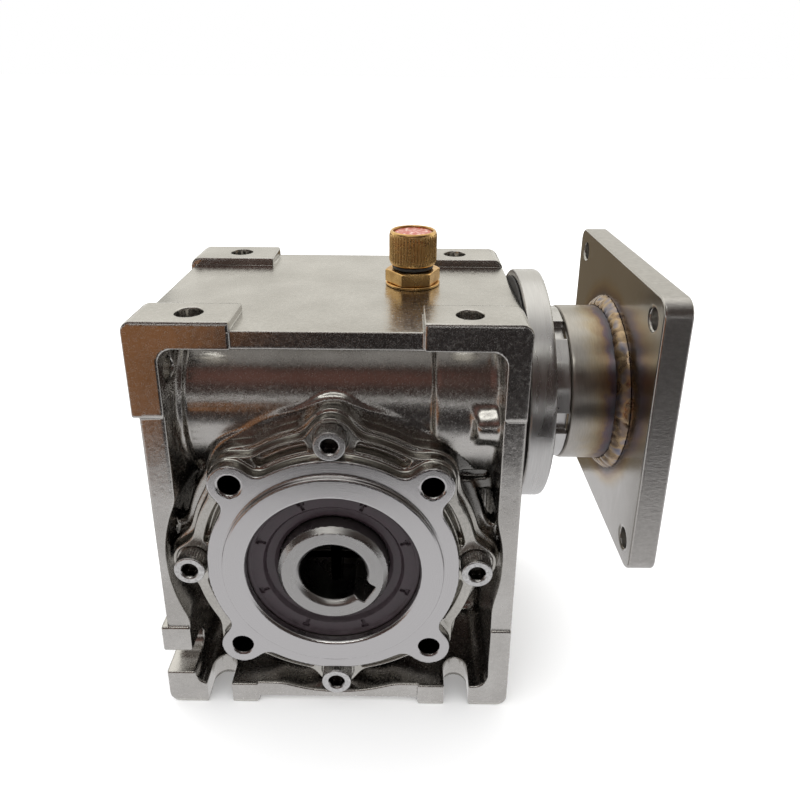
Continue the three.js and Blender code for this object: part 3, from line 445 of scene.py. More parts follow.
def gear_case(p):
    """The round case, the worm barrel across it and the bosses at the barrel's ends."""
    on_worm = (0, 0, WORM_Z)
    case = rod(p, "y", CASE_R, -CASE_HALF, CASE_HALF, edge=2.5)
    barrel = rod(p, "x", BARREL_R, LEFT + 2, RIGHT - 2, on_worm)
    left_end = rod(p, "x", BARREL_R + BARREL_STEP, LEFT + 2, BARREL_LEFT, on_worm, edge=0.6)
    right_end = rod(p, "x", BARREL_END_R, BARREL_RIGHT, RIGHT - 2, on_worm, edge=2.0)
    radius = from_axis(p, "y")
    lugs, screws = nearest(p, LUGS), nearest(p, SCREWS)
    outline = scalloped(radius, lugs, screws, 43.0, 8.0, 8.0, 4.0)
    mating = layer(p, outline, -CASE_HALF, -CASE_HALF + 5, 1.2)
    joined = smooth_min(3.0, case, smooth_min(0.9, barrel, left_end, right_end))
    return smooth_min(1.5, joined, mating)


def cast_bosses(p):
    """The small boss by the right wall, and the flat block on the barrel's end, front and back."""
    y = np.abs(p[1])
    upper = rod([p[0], y, p[2]], "x", BOSS_R, BOSS_LEFT, RIGHT - 1, (0, BOSS_Y, BOSS_Z), edge=2.4)
    lower = box([p[0], y, p[2]], (BARREL_RIGHT + 2, RIGHT - 1), (0, BLOCK_Y), BLOCK_Z, 2.0)
    return np.minimum(upper, lower)


def housing(p):
    x, y, z = p
    depth = np.abs(y)
    outline = rounded_rectangle(x, z, (LEFT, RIGHT), (BOTTOM, TOP), 3.2)
    frame_solid = smooth_max(0.6, outline, depth - DEPTH)
    opening = rounded_rectangle(
        x, z, (LEFT + LEFT_WALL, RIGHT - RIGHT_WALL), (BOTTOM + BOTTOM_WALL, TOP - TOP_WALL), 4.0
    )
    opening = smooth_min(1.0, opening, from_axis(p, "y") - ROOM_R)
    shell = cut(0.6, frame_solid, smooth_max(3.0, opening, WEB - depth))
    body = smooth_min(3.0, shell, gear_case(p))
    body = smooth_min(2.0, body, cast_bosses(p))
    room = np.maximum(from_axis(p, "y") - ROOM_R, p[1] + CASE_HALF + 0.25)
    pocket = stadium(x, z, (MARK_X, MARK_Z), 2.6, 1.5)
    pocket = smooth_max(0.6, pocket, MARK_FLOOR - depth)
    body = cut(0.8, cut(0.15, body, room), pad_reliefs(p), pocket)
    body = smooth_min(1.5, body, flange_steps(p, 1, CASE_HALF - 2))
    return cut(0.5, body, mounting_holes(p), lug_holes(p, 1), bores(p))


def bores(p):
    """The hollows inside: gear chamber, bearing and seal seats, and the screw holes."""
    on_worm = (0, 0, WORM_Z)
    out = from_axis(p, "y")
    worm = from_axis(p, "x", on_worm)
    chamber = np.maximum(out - CHAMBER_R, between(p[1], -CASE_HALF - 1, CHAMBER_Y))
    bearing = np.maximum(out - BEARING_R, between(p[1], CHAMBER_Y - 0.5, BEARING_Y))
    seal = np.maximum(out - SEAL_R - 0.15, between(p[1], SEAL_SEAT_Y, SPIGOT_Y + 2))
    seats = np.maximum(worm - WORM_SEAT_R, WORM_SEAT_X - np.abs(p[0]))
    groove = np.maximum(worm - CLIP_R, between(np.abs(p[0]), *CLIP_X))
    bore = worm - WORM_BORE
    screws = np.maximum(nearest(p, SCREWS) - SCREW_HOLE_R, between(p[1], -CASE_HALF - 1, -13))
    vent = np.sqrt((p[0] - VENT_X) ** 2 + (p[1] - VENT_Y) ** 2)
    seat = np.maximum(vent - VENT_SEAT_R, VENT_SEAT_Z - p[2])
    vent = np.minimum(seat, np.maximum(vent - VENT_HOLE_R, VENT_SEAT_Z - 10 - p[2]))
    flange = np.maximum(flange_screw_place(p) - SCREW_HOLE_R, 44.5 - p[0])
    return np.minimum.reduce([chamber, bearing, seal, seats, groove, bore, screws, vent, flange])


# ---- turned and welded pieces


def sleeve(radius, along, outer, inner, limits, edge):
    """A ring with a flat wall, from inner to outer, between two limits along its axis."""
    return smooth_max(edge, radius - outer, inner - radius, between(along, *limits))


def from_profile(radius, along, points):
    """Distance from a closed outline of (radius, along) points, negative inside."""
    best = np.full(np.shape(radius), 1e9)
    inside = np.zeros(np.shape(radius), bool)
    for (r0, a0), (r1, a1) in zip(points, points[1:] + points[:1]):
        dr, da = r1 - r0, a1 - a0
        t = np.clip(((radius - r0) * dr + (along - a0) * da) / (dr * dr + da * da), 0, 1)
        best = np.minimum(best, (radius - r0 - t * dr) ** 2 + (along - a0 - t * da) ** 2)
        if da:
            crosses = (a0 > along) != (a1 > along)
            inside ^= crosses & (radius < dr * (along - a0) / da + r0)
    return np.where(inside, -1, 1) * np.sqrt(best)


def hexagon(u, v, across):
    """Distance from a regular hexagon, across its flats."""
    half = math.radians(30)
    flats = [np.abs(u * math.cos(a) + v * math.sin(a)) for a in (half, 3 * half, 5 * half)]
    return np.maximum.reduce(flats) - across / 2


def screw_field(axis, sign, centre, top, length):
    """A knurled socket head screw. Its head's end is at top, on the side of sign."""
    u_axis, v_axis = [i for i in range(3) if i != "xyz".index(axis)]

    def field(p):
        u, v = p[u_axis] - centre[u_axis], p[v_axis] - centre[v_axis]
        down = (top - p["xyz".index(axis)]) * sign
        radius = np.sqrt(u * u + v * v)
        knurl = 0.09 * np.cos(36 * np.arctan2(u, v))
        knurl = knurl * np.clip((down - 0.9) / 0.3, 0, 1) * np.clip((SCREW_HEAD - 0.4 - down) / 0.3, 0, 1)
        head = smooth_max(0.4, radius - SCREW_HEAD_R + 0.09 - knurl, between(down, 0, SCREW_HEAD))
        shank = smooth_max(0.3, radius - SCREW_SHANK_R, between(down, 1, SCREW_HEAD + length))
        socket = np.maximum(hexagon(u, v, 4.0), down - 2.6)
        lead_in = radius - 2.55 + down * 0.9
        return cut(0.12, np.minimum(head, shank), socket, lead_in)

    return field


def lip_seal(sign):
    """An output shaft seal, its face set back in its seat, with ribs cut by eight short marks."""
    outline = [
        (15.3, 33.6), (16.4, 34.3), (18.6, 34.3), (19.4, 35.4), (22.4, 35.5), (22.9, 35.9),
        (SEAL_R, 35.9), (SEAL_R, 31.4), (17.2, 32.0),
    ]

    def field(p):
        radius, along = from_axis(p, "y"), p[1] * sign
        body = from_profile(radius, along, outline) - 0.08
        angle = np.arctan2(p[2], p[0])
        turn = np.abs((angle / (math.pi / 4)) % 1 - 0.5) * (math.pi / 4)
        side = radius * np.sin(turn)
        stem = np.maximum(np.abs(radius - 21.0) - 1.3, np.abs(side) - 0.42)
        bar = np.maximum(np.abs(radius - 21.9) - 0.45, np.abs(side) - 0.95)
        mark = np.maximum(np.minimum(stem, bar), 34.9 - along)
        return cut(0.1, body, mark)

    return field


KEY_ANGLE = math.radians(-32)
BORE_R, SHAFT_HALF, KEY_HALF, KEY_REACH = 9.0, 39.0, 3.0, 11.8


def output_shaft(p):
    radius, along = from_axis(p, "y"), np.abs(p[1])
    outline = [
        (-1, -1), (22.0, -1), (22.0, 10), (18.0, 10), (18.0, 17.9), (15.0, 17.9), (15.0, 37.7),
        (13.7, SHAFT_HALF), (-1, SHAFT_HALF),
    ]
    body = from_profile(radius, along, outline)
    bore = smooth_min(0.5, radius - BORE_R, radius - BORE_R - 1.2 + (SHAFT_HALF - along))
    u = p[0] * math.cos(KEY_ANGLE) + p[2] * math.sin(KEY_ANGLE)
    v = p[2] * math.cos(KEY_ANGLE) - p[0] * math.sin(KEY_ANGLE)
    key = rounded_rectangle(u, v, (0, KEY_REACH), (-KEY_HALF, KEY_HALF), 0.25)
    return cut(0.4, body, bore, key)


def end_cap(p):
    low, high = span("worm_end_cap")
    radius = from_axis(p, "x", (0, 0, WORM_Z))
    outline = [
        (-1, low[0] + 1.2), (19.3, low[0] + 1.2), (20.0, low[0]), (22.7, low[0]),
        (23.5, low[0] + 0.8), (23.5, high[0]), (-1, high[0]),
    ]
    return from_profile(radius, p[0], outline) - 0.02


FLANGE_X, COLLAR_X, TUBE_X, PLATE_X = [
    (low[0], high[0]) for low, high in
    map(span, ("input_flange_ring", "tube_collar", "motor_tube", "motor_plate"))
]
FLANGE_R = span("input_flange_ring")[1][1]
TUBE_R, TUBE_WALL = 22.8, 3.0
FLANGE_SCREW = 28 / math.sqrt(2)  # from the worm axis, both across and up
PLATE_HOLE_R, PLATE_HOLE_AT, PLATE_CORNER = 2.75, 32, 4.5
PILOT_R, PILOT_DEPTH = 35.0, 3.0


def worm_polar(p):
    """Radius and angle round the worm axis: 0 faces the viewer and 90 degrees is up."""
    return from_axis(p, "x", (0, 0, WORM_Z)), np.arctan2(p[2] - WORM_Z, -p[1])


def flange_screw_place(p):
    """Distance from the axis of the nearest flange screw."""
    across = np.abs(np.abs(p[1]) - FLANGE_SCREW)
    up = np.abs(np.abs(p[2] - WORM_Z) - FLANGE_SCREW)
    return np.sqrt(across**2 + up**2)


def flange_ring(p):
    radius, _ = worm_polar(p)
    low, high = FLANGE_X
    outline = [(14.0, low), (33.4, low), (FLANGE_R, low + 0.6), (FLANGE_R, high), (14.0, high)]
    body = smooth_max(1.6, from_profile(radius, p[0], outline), radius - FLANGE_R, p[0] - high)
    place = flange_screw_place(p)
    holes = np.minimum(place - SCREW_HOLE_R, np.maximum(place - 4.6, high - 5.3 - p[0]))
    drain = (p[1] + 12.0) ** 2 + (p[2] - WORM_Z + 31.4) ** 2
    drain = np.maximum(np.sqrt(drain) - 1.0, high - 1.6 - p[0])
    return cut(0.3, body, holes, drain)


SLOT_ANGLES = [math.radians(65 + 72 * i) for i in range(5)]


def collar(p):
    radius, angle = worm_polar(p)
    body = sleeve(radius, p[0], TUBE_R - 0.3, 15.0, COLLAR_X, 0.5)
    slots = []
    for middle in SLOT_ANGLES:
        u = radius * np.cos(angle - middle)
        v = radius * np.sin(angle - middle)
        slots.append(np.maximum(np.abs(v) - 3.3, TUBE_R - 3.2 - u))
        for side in (-0.27, 0.27):
            flat = radius * np.cos(angle - middle - side)
            near = np.cos(angle - middle - side) < 0.95
            slots.append(np.where(near, 9.0, TUBE_R - 0.62 - flat))
    return cut(0.25, body, *slots)


def tube(p):
    return sleeve(worm_polar(p)[0], p[0], TUBE_R, TUBE_R - TUBE_WALL, TUBE_X, 0.9)


WELD_SIZE, WELD_RIPPLES = 2.9, 46


def weld(p):
    """A fillet weld laid in overlapping ripples, which are flatter towards the viewer."""
    radius, angle = worm_polar(p)
    out = np.maximum(radius - TUBE_R, 0)
    back = np.maximum(PLATE_X[0] - p[0], 0)
    wander = 0.35 * np.sin(3 * angle + 1.0) + 0.2 * np.sin(7 * angle + 2.0)
    tilt = (out - back) / 4.5
    phase = WELD_RIPPLES * angle / (2 * math.pi) + 0.5 * np.sin(5 * angle) + 0.45 * tilt * tilt
    calm = 0.5 + 0.5 * np.cos(2 * angle - 0.6)
    ripple = (0.26 - 0.20 * calm) * (1 - np.abs((phase % 1) * 2 - 1) ** 1.6)
    size = WELD_SIZE + 0.6 * wander + ripple
    reach = (out**1.45 + back**1.45 + 1e-6) ** (1 / 1.45)
    bead = reach - size
    limits = np.maximum(TUBE_R + 0.05 - radius, p[0] - PLATE_X[0] + 0.05)
    return smooth_max(0.1, bead, limits)


def plate(p):
    half = span("motor_plate")[1][1]
    outline = rounded_rectangle(p[1], p[2] - WORM_Z, (-half, half), (-half, half), PLATE_CORNER)
    body = smooth_max(0.7, outline, between(p[0], *PLATE_X))
    across = np.abs(np.abs(p[1]) - PLATE_HOLE_AT)
    up = np.abs(np.abs(p[2] - WORM_Z) - PLATE_HOLE_AT)
    bolt = np.sqrt(across**2 + up**2)
    bolts = bolt - PLATE_HOLE_R - np.maximum(between(p[0], *PLATE_X) + 0.3, 0)
    radius, _ = worm_polar(p)
    pilot = np.maximum(radius - PILOT_R, PLATE_X[1] - PILOT_DEPTH - p[0])
    return cut(0.6, body, bolts, radius - TUBE_R + TUBE_WALL, pilot)


# ---- breather

VENT_CAP_LOW, VENT_CAP_HIGH = span("vent_cap")
VENT_HEX_LOW = span("vent_washer")[1][2] + 0.1
VENT_HEX_HIGH = span("vent_o_ring")[0][2] - 0.1
VENT_CAP_R = VENT_CAP_HIGH[0] - VENT_X
VENT_HEX, VENT_HEX_CORNER_R = 14.0, 7.55
VENT_THREAD_R, VENT_NOSE_R, VENT_BORE_R = 6.5, 4.4, 1.5
VENT_SKIRT_R, VENT_ROOF = 4.7, 79.6
VENT_DISC_R, VENT_RECESS_R, VENT_RECESS_FLOOR = 5.4, 5.7, 84.0


def vent_polar(p):
    u, v = p[0] - VENT_X, p[1] - VENT_Y
    return np.sqrt(u * u + v * v), np.arctan2(v, u)


def vent_base(p):
    radius, angle = vent_polar(p)
    u, v = radius * np.cos(angle - 0.12), radius * np.sin(angle - 0.12)
    upright = between(p[2], VENT_HEX_LOW, VENT_HEX_HIGH)
    nut = smooth_max(0.25, hexagon(u, v, VENT_HEX), radius - VENT_HEX_CORNER_R + upright * 1.7, upright)
    thread = rod_upright(radius, p, VENT_THREAD_R, 60.5, 71)
    nose = rod_upright(radius, p, VENT_NOSE_R, 72, 79)
    body = np.minimum.reduce([nut, thread, nose])
    return cut(0.1, body, rod_upright(radius, p, VENT_BORE_R, 60, 80))


def rod_upright(radius, p, outer, low, high):
    return np.maximum(radius - outer, between(p[2], low, high))


def vent_cap(p):
    radius, angle = vent_polar(p)
    low, high = VENT_CAP_LOW[2], VENT_CAP_HIGH[2]
    band = np.clip((p[2] - low - 1.0) / 0.4, 0, 1) * np.clip((high - 1.1 - p[2]) / 0.4, 0, 1)
    ridge = 0.24 * (np.abs(np.cos(22 * angle)) - 0.5) * band
    wall = radius - VENT_CAP_R + 0.24 - ridge
    body = smooth_max(1.2, wall, between(p[2], low, high))
    hollow = rod_upright(radius, p, VENT_SKIRT_R, low - 2, VENT_ROOF)
    top = rod_upright(radius, p, VENT_RECESS_R, VENT_RECESS_FLOOR, high + 3)
    return cut(0.7, cut(0.2, body, hollow), top)


def vent_disc(p):
    radius, _ = vent_polar(p)
    low, high = span("vent_disc")
    dome = 0.25 * (1 - (radius / VENT_DISC_R) ** 2)
    return smooth_max(0.2, radius - VENT_DISC_R, low[2] - p[2], p[2] - high[2] + 0.25 - dome)


def vent_washer(p):
    low, high = span("vent_washer")
    return sleeve(vent_polar(p)[0], p[2], 8.0, 6.8, (low[2], high[2]), 0.3)


def vent_ring(p):
    radius, _ = vent_polar(p)
    low, high = span("vent_o_ring")
    half = (high[2] - low[2]) / 2
    round_ring = np.sqrt((radius - 5.45) ** 2 + (p[2] - low[2] - half) ** 2) - half
    return np.maximum(round_ring, 4.75 - radius)


WORM_LEFT, WORM_RIGHT = -40.9, 49.6
WORM_BORE_R, WORM_BORE_END, WORM_KEY_HALF, WORM_KEY_REACH = 7.0, 22.0, 2.5, 9.3
BEARING_SEAT_R, BEARING_SEAT_X = 12.5, 28.8
SHOULDER_R, SHOULDER_X = 14.0, 24.0
THREAD_ROOT_R, THREAD_MIDDLE_R, THREAD_TIP_R, THREAD_HALF = 7.6, 10.0, 12.0, 15.7
THREAD_PITCH, THREAD_FLANK = 2 * math.pi, math.tan(math.radians(20))


def worm_shaft(p):
    """The worm with its journals, and the keyed bore that takes the motor shaft."""
    radius, _ = worm_polar(p)
    x = p[0]
    outline = [
        (-1, WORM_LEFT), (11.5, WORM_LEFT), (BEARING_SEAT_R, WORM_LEFT + 1),
        (BEARING_SEAT_R, -BEARING_SEAT_X), (SHOULDER_R, -BEARING_SEAT_X), (SHOULDER_R, -SHOULDER_X),
        (THREAD_ROOT_R, -22.0), (THREAD_ROOT_R, 22.0),
        (SHOULDER_R, SHOULDER_X), (SHOULDER_R, BEARING_SEAT_X), (BEARING_SEAT_R, BEARING_SEAT_X),
        (BEARING_SEAT_R, WORM_RIGHT - 1), (11.5, WORM_RIGHT), (-1, WORM_RIGHT),
    ]
    body = from_profile(radius, x, outline)
    turn = (np.arctan2(p[2] - WORM_Z, p[1]) + math.pi / 2) / (2 * math.pi)
    offset = (x / THREAD_PITCH - turn + 0.5) % 1 - 0.5
    flank = (np.abs(offset) - 0.25) * THREAD_PITCH + (radius - THREAD_MIDDLE_R) * THREAD_FLANK
    thread = np.maximum.reduce([flank, radius - THREAD_TIP_R, 7.0 - radius, np.abs(x) - THREAD_HALF])
    chamfered = smooth_min(0.4, radius - WORM_BORE_R, radius - WORM_BORE_R - 0.6 + WORM_RIGHT - x)
    key = np.maximum(np.abs(p[1]) - WORM_KEY_HALF, between(p[2] - WORM_Z, 0, WORM_KEY_REACH))
    inside = WORM_BORE_END - x
    return cut(0.4, np.minimum(body, thread), np.maximum(chamfered, inside), np.maximum(key, inside))


def gasket(p):
    low, high = span("flange_gasket")
    return sleeve(worm_polar(p)[0], p[0], high[1], 24.5, (low[0], high[0]), 0.4)


def input_seal(p):
    radius, _ = worm_polar(p)
    high = span("input_seal")[1][0]
    outline = [
        (12.8, high - 1.2), (14.4, high - 0.5), (17.4, high - 0.9), (18.2, high - 0.3),
        (22.0, high - 0.3), (22.6, high), (23.4, high), (23.4, high - 6.3), (14.8, high - 2.4),
    ]
    return from_profile(radius, p[0], outline) - 0.08


# ---- materials


def fill_in(node, inputs):
    """Gives each of a node's inputs its number, or links it to the output of an earlier node."""
    for key, value in inputs.items():
        if isinstance(value, bpy.types.NodeSocket):
            node.id_data.links.new(value, node.inputs[key])
        else:
            node.inputs[key].default_value = value


def add_node(tree, kind, inputs, output=0, **settings):
    """Adds a shader node with its settings and inputs, and gives one of its outputs."""
    node = tree.nodes.new("ShaderNode" + kind)
    for name, value in settings.items():
        setattr(node, name, value)
    fill_in(node, inputs)
    return node.outputs[output] if node.outputs else node


def add_mix(tree, share, first, second):
    """The first colour where share is 0, the second where it is 1."""
    first, second = [(*value, 1) if isinstance(value, tuple) else value for value in (first, second)]
    return add_node(tree, "Mix", {0: share, 6: first, 7: second}, 2, data_type="RGBA")


def add_ramp(tree, value, *stops):
    """A colour for each value, through (place, colour) stops."""
    color = add_node(tree, "ValToRGB", {0: value})
    points = color.node.color_ramp.elements
    while len(points) < len(stops):
        points.new(0.5)
    for point, (at, shade) in zip(points, stops):
        point.position = at
        point.color = (*shade, 1)
    return color


class Paint:
    """A material made of nodes. Its lengths are millimetres, and its places lie round the output axis.

    Where a method takes a value, it takes a number or the output of an earlier method.
    """

    def __init__(self, name, metallic=1.0):
        self.material = bpy.data.materials.new(name)
        self.material.use_nodes = True
        self.tree = self.material.node_tree
        self.shader = self.tree.nodes["Principled BSDF"]
        self.shader.inputs["Metallic"].default_value = metallic
        self.normal = None
        place = {0: self.node("TexCoord", {}, "Object"), 1: (MM, MM, MM), 2: tuple(-ORIGIN)}
        self.place = self.node("VectorMath", place, operation="MULTIPLY_ADD")
        self.x, self.y, self.z = self.node("SeparateXYZ", {0: self.place}).node.outputs

    def node(self, *kind_and_inputs, **settings):
        return add_node(self.tree, *kind_and_inputs, **settings)

    def calc(self, operation, *values):
        return self.node("Math", dict(enumerate(values)), operation=operation)

    def fade(self, value, start, end, low=0.0, high=1.0):
        """Goes smoothly from low to high while the value goes from start to end."""
        inputs = dict(enumerate((value, start, end, low, high)))
        return self.node("MapRange", inputs, interpolation_type="SMOOTHSTEP")

    def vector(self, x, y, z):
        return self.node("CombineXYZ", {0: x, 1: y, 2: z})

    def scaled(self, x, y, z):
        """The place with each direction squeezed, so that a noise comes out stretched."""
        return self.tinted(self.place, (x, y, z))

    def noise(self, size, detail=2.0, rough=0.5, at=None):
        """Noise from 0 to 1 with lumps about as large as size."""
        inputs = {"Vector": at or self.place, "Scale": 1 / size, "Detail": detail, "Roughness": rough}
        return self.node("TexNoise", inputs)

    def cells(self, size):
        """Distance from the nearest of many scattered points, for pits and grains."""
        return self.node("TexVoronoi", {"Vector": self.place, "Scale": 1 / size}, "Distance")

    def round_axis(self, axis, centre=(0, 0, 0)):
        """Radius and angle round an axis through centre."""
        places = [self.x, self.y, self.z]
        u, v = [
            self.calc("SUBTRACT", places[i], float(centre[i])) for i in range(3) if "xyz"[i] != axis
        ]
        return self.distance(u, v), self.calc("ARCTAN2", v, u)

    def ramp(self, value, *stops):
        """A colour for each value, through (place, colour) stops."""
        return add_ramp(self.tree, value, *stops)

    def mix(self, share, first, second):
        """The first colour where share is 0, the second where it is 1."""
        return add_mix(self.tree, share, first, second)

    def shade(self, color, value):
        """The colour made lighter or darker by a value around 1."""
        return self.node("VectorMath", {0: color, "Scale": value}, operation="SCALE")

    def mottled(self, color, noise, low, high):
        """The colour made lighter and darker by a noise."""
        return self.shade(color, self.fade(noise, 0.2, 0.8, low, high))

    def tinted(self, color, tint):
        return self.node("VectorMath", {0: color, 1: tint}, operation="MULTIPLY")

    def product(self, first, *others):
        for other in others:
            first = self.calc("MULTIPLY", first, other)
        return first

    def distance(self, u, v):
        """The length of a line that goes u one way and v the other."""
        square = self.calc("MULTIPLY_ADD", u, u, self.calc("MULTIPLY", v, v))
        return self.calc("SQRT", square)

    def size(self, value, centre=0.0):
        return self.calc("ABSOLUTE", self.calc("SUBTRACT", value, centre))

    def bump(self, height, depth):
        """Adds relief, as deep as depth where the height goes from 0 to 1."""
        inputs = {"Distance": depth / MM, "Height": height}
        if self.normal:
            inputs["Normal"] = self.normal
        self.normal = self.node("Bump", inputs)

    def done(self, color, roughness):
        inputs = {"Base Color": color, "Roughness": roughness}
        if self.normal:
            inputs["Normal"] = self.normal
        fill_in(self.shader, inputs)
        return self.material


ON_WORM = (0, 0, WORM_Z)


def cast_steel():
    """Blasted cast stainless steel with a fine grain and small pits, and painted shade under the boss by the
    barrel's right end.
    """
    paint = Paint("cast steel")
    wide = paint.noise(14.0, 3.0)
    fine = paint.noise(0.9, 3.0, 0.6)
    grain = paint.noise(0.42, 2.0, 0.6)
    pits = paint.fade(paint.cells(2.6), 0.10, 0.26)
    depth = paint.size(paint.y)
    front = paint.fade(depth, 33.0, 34.8)
    middle = (PAD_UPPER + PAD_LOWER) / 2
    between_pads = paint.fade(paint.size(paint.z, middle), PAD_UPPER - middle, PAD_UPPER - middle - 0.5)
    raw = paint.calc("MULTIPLY_ADD", paint.product(front, between_pads), 0.8, 0.2)
    color = paint.ramp(wide, (0.30, (0.47, 0.455, 0.43)), (0.70, (0.57, 0.555, 0.53)))
    color = paint.shade(color, paint.fade(fine, 0.25, 0.75, 0.92, 1.05))
    # Painted shade: the casting is darkened in the recess below the boss by the barrel's right end.
    film_and_painted_shade = paint.product(
        paint.fade(paint.z, 40.0, 30.0), paint.fade(paint.z, 8.0, 14.0),
        paint.fade(paint.x, BARREL_RIGHT, BARREL_RIGHT + 4), paint.fade(depth, 30.0, 27.0),
    )
    color = paint.shade(color, paint.fade(film_and_painted_shade, 0.0, 1.0, 1.0, 0.38))
    paint.bump(paint.noise(5.0, 2.0), 0.08)
    paint.bump(paint.noise(1.6, 2.0), 0.008)
    paint.bump(paint.product(grain, raw), 0.022)
    paint.bump(paint.product(pits, raw), 0.012)
    return paint.done(color, paint.fade(fine, 0.3, 0.7, 0.20, 0.28))


def cover_steel():
    """The same casting with its lug face and spigot turned bright, and painted shade inside the lug holes."""
    paint = Paint("turned casting")
    radius, _ = paint.round_axis("y")
    turned = paint.fade(paint.size(paint.y), FACE_Y - 0.7, FACE_Y - 0.3)
    cast = paint.calc("SUBTRACT", 1.0, turned)
    wide = paint.noise(12.0, 3.0)
    fine = paint.noise(0.8, 3.0, 0.6)
    lines = paint.noise(0.22, 1.0, 0.5, paint.vector(radius, 0.0, 0.0))
    color = paint.ramp(wide, (0.30, (0.46, 0.445, 0.41)), (0.70, (0.56, 0.545, 0.51)))
    color = paint.shade(color, paint.fade(fine, 0.25, 0.75, 0.90, 1.05))
    bright = paint.mix(lines, (0.48, 0.47, 0.47), (0.60, 0.59, 0.59))
    color = paint.mix(turned, color, bright)
    lug = abs(LUGS[0][0])
    # Painted shade: the lug holes are painted near black inside.
    hole = paint.distance(paint.size(paint.size(paint.x), lug), paint.size(paint.size(paint.z), lug))
    color = paint.mix(paint.fade(hole, LUG_HOLE_R, LUG_HOLE_R + 0.2), (0.05, 0.045, 0.04), color)
    paint.bump(paint.product(paint.noise(3.0, 2.0), cast), 0.06)
    paint.bump(paint.product(paint.noise(0.45, 2.0, 0.6), cast), 0.015)
    paint.bump(paint.product(lines, turned), 0.008)
    rough = paint.mix(turned, (0.24, 0.24, 0.24), (0.22, 0.22, 0.22))
    return paint.done(color, rough)


def turned_steel(name, axis, centre, tone, bore):
    """Turned stainless steel, with fine marks that run round its axis, and painted shade in its bore."""
    paint = Paint(name)
    radius, angle = paint.round_axis(axis, centre)
    along = {"x": paint.x, "y": paint.y, "z": paint.z}[axis]
    marks = paint.noise(0.25, 2.0, 0.6, paint.vector(radius, paint.product(angle, 1.4), along))
    smear = paint.noise(4.0, 3.0, 0.55, paint.vector(radius, paint.product(angle, 6.0), along))
    color = paint.shade(paint.mix(smear, (0.56, 0.55, 0.535), (0.72, 0.71, 0.70)), tone)
    color = paint.mottled(color, marks, 0.93, 1.06)
    # Painted shade: everything inside the bore radius is painted dark.
    bore_shade = paint.fade(radius, bore, bore + 0.15)
    color = paint.mix(bore_shade, (0.15, 0.145, 0.14), color)
    paint.bump(marks, 0.010)
    return paint.done(color, paint.fade(smear, 0.3, 0.7, 0.24, 0.36))


def cover_screw_radius(paint):
    """Distance from the nearest cover screw's axis."""
    x, z = paint.size(paint.x), paint.size(paint.z)
    along = paint.size(paint.calc("MAXIMUM", x, z), SCREW_RADIUS)
    return paint.distance(along, paint.calc("MINIMUM", x, z))


def screw_steel():
    """Cold-headed stainless steel, a little scuffed, with painted shade in the cover screws' sockets."""
    paint = Paint("screw steel")
    scuffs = paint.noise(0.7, 3.0, 0.6)
    color = paint.ramp(scuffs, (0.3, (0.46, 0.455, 0.45)), (0.7, (0.70, 0.695, 0.69)))
    # Painted shade: the sockets of the cover's screws are painted near black.
    color = paint.mix(paint.fade(cover_screw_radius(paint), 2.0, 2.5), (0.045, 0.04, 0.035), color)
    paint.bump(scuffs, 0.03)
    return paint.done(color, paint.fade(scuffs, 0.3, 0.7, 0.36, 0.24))


def tube_steel():
    """The brushed tube, with straw and violet heat tints towards the weld."""
    paint = Paint("tube steel")
    radius, angle = paint.round_axis("x", ON_WORM)
    marks = paint.noise(0.30, 2.0, 0.6, paint.vector(paint.x, paint.product(angle, 2.0), radius))
    patch = paint.noise(5.0, 3.0, 0.55)
    near = paint.calc("ADD", paint.x, paint.calc("MULTIPLY_ADD", patch, 6.0, -3.0))
    tint = paint.fade(near, 66.0, 77.0)
    steel = paint.mix(patch, (0.36, 0.335, 0.30), (0.47, 0.45, 0.42))
    heat = paint.ramp(
        tint, (0.0, (1.0, 1.0, 1.0)), (0.45, (0.98, 0.86, 0.66)), (0.72, (0.80, 0.60, 0.42)),
        (0.86, (0.50, 0.40, 0.50)), (1.0, (0.40, 0.44, 0.56)),
    )
    color = paint.mottled(paint.tinted(steel, heat), marks, 0.9, 1.08)
    paint.bump(marks, 0.015)
    return paint.done(color, paint.fade(patch, 0.3, 0.7, 0.28, 0.38))


def weld_steel():
    """Weld metal in blended bands of straw, brown, violet and blue."""
    paint = Paint("weld")
    bands = paint.noise(3.6, 1.5, 0.5)
    color = paint.ramp(
        bands, (0.30, (0.17, 0.13, 0.11)), (0.43, (0.28, 0.20, 0.13)), (0.52, (0.42, 0.31, 0.19)),
        (0.60, (0.32, 0.27, 0.25)), (0.72, (0.20, 0.20, 0.25)),
    )
    paint.bump(paint.noise(0.5, 2.0), 0.03)
    return paint.done(color, paint.fade(bands, 0.3, 0.7, 0.22, 0.36))


